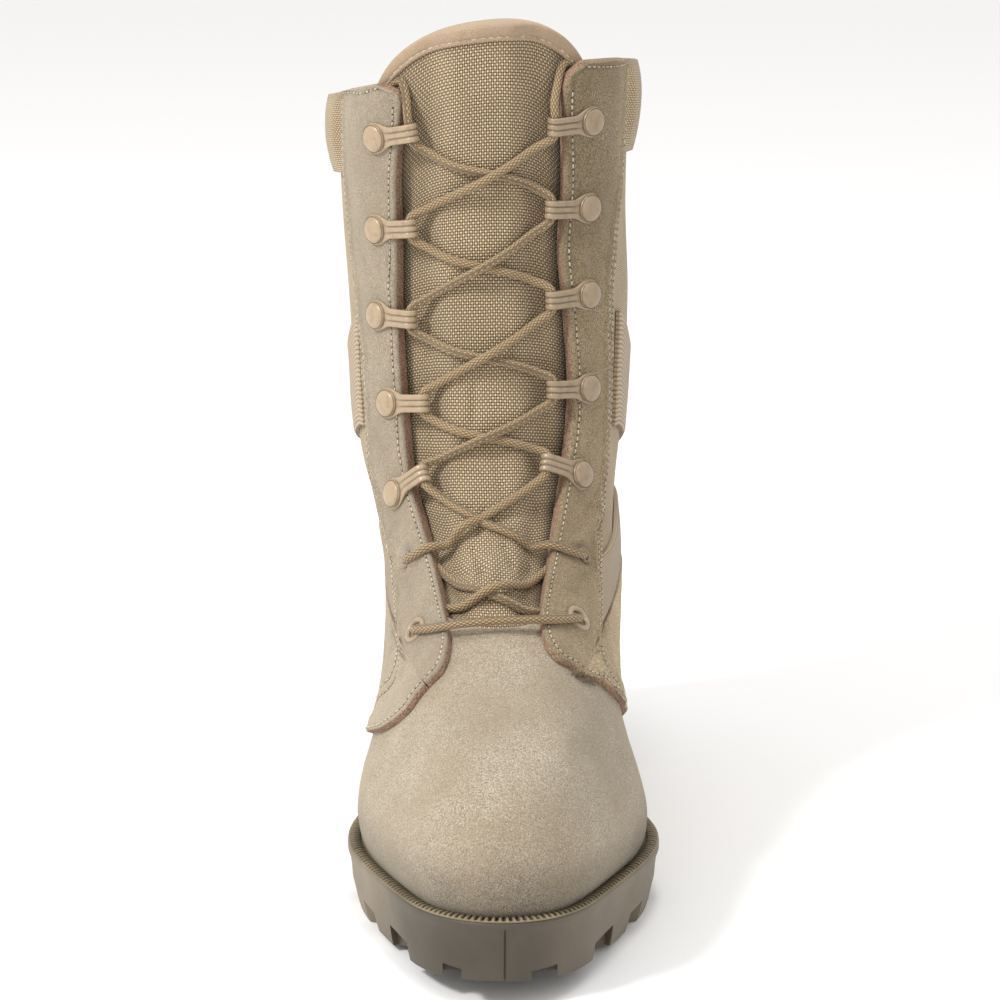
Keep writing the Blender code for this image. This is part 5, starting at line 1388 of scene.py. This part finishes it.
def box_at(work, centre, turn, size):
    """A box turned about its upright."""
    made = bmesh.ops.create_cube(work, size=1.0)["verts"]
    cosine, sine = math.cos(turn), math.sin(turn)
    for vert in made:
        x, y, z = (a * b for a, b in zip(vert.co, size))
        vert.co = (centre[0] + x * cosine - y * sine, centre[1] + x * sine + y * cosine, centre[2] + z)


def tread_cutters():
    """What the mould leaves open between the lugs, at the toe's notches and under the arch."""
    work = bmesh.new()
    length = LAST_LENGTH + 2 * WELT_LEDGE
    toe = HEEL_BACK + WELT_LEDGE - length
    for share, turn, reach, width in TREAD_CHANNELS:
        y = toe + share * length
        for side in (1, -1):
            way = min(max((HEEL_BACK - y) / LAST_LENGTH, 0.0), 1.0)
            edge = float(ring_points(side * math.degrees(math.acos(2 * way - 1)), 0.0)[0])
            edge += side * (WELT_LEDGE - SIDE_TAPER)
            size = reach * BALL_HALF
            angle = side * math.radians(turn)
            centre = (edge - side * math.cos(angle) * 0.3 * size, y - math.sin(angle) * side * 0.3 * size)
            box_at(work, (*centre, float(tread_bottom(y))), angle, (1.4 * size, width, 2 * LUG_DEPTH))
    for share in CENTRE_CHANNELS:
        y = toe + share * length
        box_at(work, (0, y, float(tread_bottom(y))), 0.0, (0.5 * BALL_HALF, CHANNEL_WIDTH, 2 * LUG_DEPTH))
    for share, width in TOE_NOTCHES:
        y = toe + 0.12 * BALL_HALF
        box_at(work, (share * BALL_HALF, y, float(tread_bottom(y))), 0.0,
               (width * BALL_HALF, 0.5 * BALL_HALF, 2 * TOE_NOTCH_DEPTH))
    breast, front = HEEL_BACK - 0.245 * LAST_LENGTH, HEEL_BACK - 0.475 * LAST_LENGTH
    profile = [(breast, -ARCH_RISE), (breast, ARCH_RISE)]
    for s in np.linspace(0, 1, 25)[1:]:
        profile.append((breast + (front - breast) * s, ARCH_RISE * (1 - s ** 2.2)))
    profile.append((front, -ARCH_RISE))
    wide = 1.6 * BALL_HALF
    ends = [[work.verts.new((x, y, z)) for y, z in profile] for x in (-wide, wide)]
    count = len(profile)
    work.faces.new(ends[0])
    work.faces.new(list(reversed(ends[1])))
    for k in range(count):
        work.faces.new((ends[0][k], ends[0][(k + 1) % count], ends[1][(k + 1) % count], ends[1][k]))
    bmesh.ops.recalc_face_normals(work, faces=work.faces)
    mesh = bpy.data.meshes.new("tread_cutters")
    work.to_mesh(mesh)
    work.free()
    return mesh


def make_sole():
    """Outsole: moulded side with a fine lip under the welt, a parting line at the toe, and lugs."""
    half_turn = np.concatenate(((0.0, 0.2, 0.4, 0.6, 0.8), np.linspace(1, 180, 180)))
    angles = np.concatenate((half_turn, -half_turn[-2:0:-1]))
    levels = (   # share of the height, bulge in metres, share of the taper
        (1.0, 0.0000, 0.0), (0.97, 0.0004, 0.0), (0.90, 0.0004, 0.0), (0.86, 0.0, 0.0), (0.80, -0.0002, 0.06),
        (0.62, -0.0003, 0.18), (0.45, -0.0003, 0.25), (0.30, -0.0002, 0.5), (0.15, 0.0, 0.75),
        (0.02, 0.0, 0.98), (0.0, -0.0004, 1.0),
    )
    loops = []
    for share, bulge, taper in levels:
        plan = feather(angles, WELT_LEDGE + bulge, SIDE_TAPER * taper)
        top, low = sole_top(plan[:, 1]), tread_bottom(plan[:, 1])
        # the two halves of the mould met at the toe, and left a ridge with a line beside it
        if 0.01 < share < 0.90:
            plan[:, 1] -= 0.0005 * bell(angles - 0.4, 0.16) - 0.0004 * bell(angles - 0.8, 0.16)
        loops.append(np.column_stack((plan, low + (top - low) * share)))
    faces = stack_faces(len(loops), len(angles))
    mesh = face_out(mesh_of("outsole_body", np.concatenate(loops[::-1]), faces))
    body = bpy.data.objects.new("outsole_body", mesh)
    cutter = bpy.data.objects.new("tread_cutters", tread_cutters())
    for obj in (body, cutter):
        bpy.context.scene.collection.objects.link(obj)
    modifier = body.modifiers.new("tread", "BOOLEAN")
    modifier.object = cutter
    modifier.operation = "DIFFERENCE"
    modifier.solver = "EXACT"
    modifier.use_self = True
    shape = bpy.data.meshes.new_from_object(body.evaluated_get(bpy.context.evaluated_depsgraph_get()))
    shape.name = "outsole_moulded"
    for obj in (body, cutter):
        bpy.data.objects.remove(obj)
    shape.materials.clear()
    place = np.zeros(3 * len(shape.vertices))
    shape.vertices.foreach_get("co", place)
    place = place.reshape(-1, 3)
    # painted shade along the middle, across the toe's front, and painted light towards both sides, most on
    # the outer side, which faces the key lamp; the tone also varies at random
    tone = 0.37 + 0.74 * ease((-place[:, 0] - 0.028) / 0.022) + 0.52 * ease((place[:, 0] - 0.004) / 0.044)
    tone = tone * (1.0 + 0.05 * mottle(place, 0.009, 61))
    if "tone" not in shape.attributes:
        shape.attributes.new("tone", "FLOAT", "POINT")
    shape.attributes["tone"].data.foreach_set("value", tone.astype(np.float32))
    add_piece("outsole_moulded", shape, [RUBBER], "outsole", 28.0)


def make_welt():
    """Rim on the ledge: fine radial teeth all round, with painted shade in the gaps between them, and painted
    lighter along the outer lip.
    """
    dense = even_angles(2400)
    phase = travel(feather(dense, WELT_LEDGE)) / RIM_PITCH
    tooth = np.clip(0.5 + 1.3 * np.cos(2 * np.pi * phase), 0, 1)
    # the gaps between the teeth are painted darker as shade, and the lip is painted lighter
    rows = (  # distance out, height, height of the teeth over it, tone of crest and of gap
        (WELT_LEDGE + 0.0001, 0.0, 0.0, 0.9, 0.9), (WELT_LEDGE + 0.0002, 0.22, 0.0, 1.15, 1.05),
        (WELT_LEDGE - 0.0001, 0.32, 0.0, 1.3, 1.1), (WELT_LEDGE - 0.0005, 0.24, 0.18, 1.1, 0.5),
        (WELT_LEDGE - 0.0009, 0.18, 0.42, 1.05, 0.32),
        (0.5 * (WELT_LEDGE + WELT_RELIEF), 0.18, 0.50, 0.85, 0.32),
        (WELT_RELIEF + 0.0008, 0.18, 0.50, 0.7, 0.30), (WELT_RELIEF, 0.18, 0.3, 0.45, 0.28),
        (WELT_RELIEF, 0.0, 0.0, 0.4, 0.3),
    )
    loops, tones = [], []
    for grow, high, toothed, crest, gap in rows:
        ring = feather(dense, grow)
        z = sole_top(ring[:, 1]) + FIT_GAP * 0.5 + WELT_THICK * (high + toothed * tooth)
        loops.append(np.column_stack((ring, z)))
        tones.append(gap + (crest - gap) * tooth)
    count, total = len(dense), len(loops)
    points = np.concatenate(loops)
    i, j = np.meshgrid(np.arange(total), np.arange(count), indexing="ij")
    a, b = i * count + j, i * count + (j + 1) % count
    c, d = ((i + 1) % total) * count + (j + 1) % count, ((i + 1) % total) * count + j
    faces = np.stack((a, b, c, d), -1).reshape(-1, 4)
    mesh = mesh_of("welt", points, faces.tolist(), np.zeros((len(points), 2)), tone=np.concatenate(tones))
    add_piece("welt", mesh, [RIM_RUBBER], "welt", 60.0)


def make_insole():
    """Insole: a board with a softened upper edge, under a dull cloth."""
    angles = np.concatenate((np.linspace(0, 180, 91), np.linspace(-180, 0, 91)[1:-1]))
    loops = []
    for grow, height in ((-0.0034, 0.0), (-0.0034, 0.0028), (-0.0040, 0.0034), (-0.0052, 0.0035)):
        plan = feather(angles, grow)
        loops.append(np.column_stack((plan, sole_top(plan[:, 1]) + FIT_GAP + height)))
    points = np.concatenate(loops)
    mesh = mesh_of("insole", points, stack_faces(len(loops), len(angles)), points[:, :2] * 1000)
    add_piece("insole", mesh, [INSOLE_CLOTH], "insole")


# Seams

def make_seams(facings, quarters, counter):
    """Rows of thread, each stitch sunk into the hole that the needle left, which is dark with painted shade.
    """
    lines = []
    for side in (1, -1):
        g = facings[side]
        lines += [seam_line(g, distance, "from_last", 0.085, 0.985) for distance in BACK_ROWS]
        lines += [seam_line(g, FRONT_ROW, "from_first", 0.0, 0.955), cross_line(g, FRONT_ROW, 0.12, 0.92)]
        lines.append(seam_line(quarters[side], FRONT_ROW, "from_first", 0.0, 0.80))
        lines += [angle_line(quarters[side], rows) for rows in QUARTER_ROWS[side]]
    for key in ("from_first", "from_last"):
        lines += [seam_line(counter, distance, key) for distance in COUNTER_ROWS]
    threads, holes = [], []
    for points, offs in lines:
        threads += stitch_parts(points, offs, 0.00026)
        holes += hole_parts(points, offs, 0.00004)
    add_joined("leather_stitches", threads, THREAD)
    add_joined("leather_stitch_holes", holes, NEEDLE_HOLE_SHADE)


def make_fray():
    """Fibres that came out of the raw edge at the foot of the inner eyestay."""
    rng = np.random.default_rng(12)
    parts = []
    for _ in range(130):
        v = rng.uniform(5.36, 6.02)
        angle = float(throat(1, v)) + rng.uniform(-1.6, 0.6)
        start = lifted(angle, v, rng.uniform(0.0004, 0.0022))
        reach = rng.uniform(0.0012, 0.0034)
        way = unit(rng.normal(0, 1, 3) * (0.5, 0.5, 0.3) + (-0.55, -0.5, -0.55))
        bend = rng.normal(0, 0.0004, 3)
        rows = [start + way * reach * s + bend * s * s for s in (0.0, 0.35, 0.7, 1.0)]
        parts.append(tube(rows, 0.00007, 4))
    add_joined("frayed_fibres", parts, FRAY)


# Making the boot

make_sole()
make_welt()
make_insole()
make_vamp()
make_shaft()
FACINGS = {side: make_facing(side, name) for side, name in ((1, "facing_inner"), (-1, "facing_outer"))}
QUARTERS = make_quarters()
COUNTER = make_counter()
make_tapes()
make_collar()
make_tongue()
SEAT = LAY_GAP + FACING_THICK + 0.0002
HOOK_FRAMES = {name: frame_on_facing(angle, v, turn, SEAT)
               for name, (v, angle, turn) in hook_places().items()}
for hook_name, hook_frame in HOOK_FRAMES.items():
    make_hook(hook_name, hook_frame)
for pair, (v_outer, outer, v_inner, inner) in enumerate(EYELETS, 1):
    make_eyelet(f"outer_{pair}", frame_on_facing(-outer, v_outer, 0.0, SEAT), pair == 1)
    make_eyelet(f"inner_{pair}", frame_on_facing(inner, v_inner, 0.0, SEAT), pair == 1)
make_hook_lace(HOOK_FRAMES)
make_low_lace()
make_seams(FACINGS, QUARTERS, COUNTER)
make_fray()

# Floor, light and camera

scene = bpy.context.scene
floor_mesh = bpy.data.meshes.new("floor")
floor_mesh.from_pydata([(-4, -4, 0), (4, -4, 0), (4, 4, 0), (-4, 4, 0)], [], [(0, 1, 2, 3)])
floor = bpy.data.objects.new("floor", floor_mesh)
scene.collection.objects.link(floor)
floor_material, _, _ = start_material("pale_floor", Base_Color=colour("FAF9F8"), Roughness=0.8)
floor_mesh.materials.append(floor_material)

world = bpy.data.worlds.new("studio")
scene.world = world
world.use_nodes = True
world.node_tree.nodes["Background"].inputs["Color"].default_value = colour("FFFFFF")
world.node_tree.nodes["Background"].inputs["Strength"].default_value = 0.90


def add_light(name, place, size, power, target):
    """A round soft lamp."""
    lamp = bpy.data.lights.new(name, "AREA")
    lamp.shape = "DISK"
    lamp.size = size
    lamp.energy = power
    light = bpy.data.objects.new(name, lamp)
    light.location = place
    light.rotation_euler = (Vector(target) - Vector(place)).to_track_quat("-Z", "Y").to_euler()
    scene.collection.objects.link(light)


add_light("key", (-1.1, -0.8, 1.35), 0.35, 21.0, (0, -0.08, 0.12))
add_light("top", (0.1, -0.3, 1.8), 0.4, 7.0, (0, -0.10, 0.10))

# The camera looks down at the boot as the photograph does, from 1.3 m in front of the heel.
CAMERA_PLACE, CAMERA_DOWN, CAMERA_LENS = (-0.0007, -1.298, 0.449), 14.8, 121.4
camera_data = bpy.data.cameras.new("camera")
camera_data.lens = CAMERA_LENS
camera_data.sensor_width = 36.0
camera_data.clip_start, camera_data.clip_end = 0.05, 20.0
camera = bpy.data.objects.new("camera", camera_data)
camera.location = CAMERA_PLACE
camera.rotation_euler = (math.radians(90.0 - CAMERA_DOWN), 0.0, 0.0)
scene.collection.objects.link(camera)
scene.camera = camera
scene.view_settings.view_transform = "Standard"
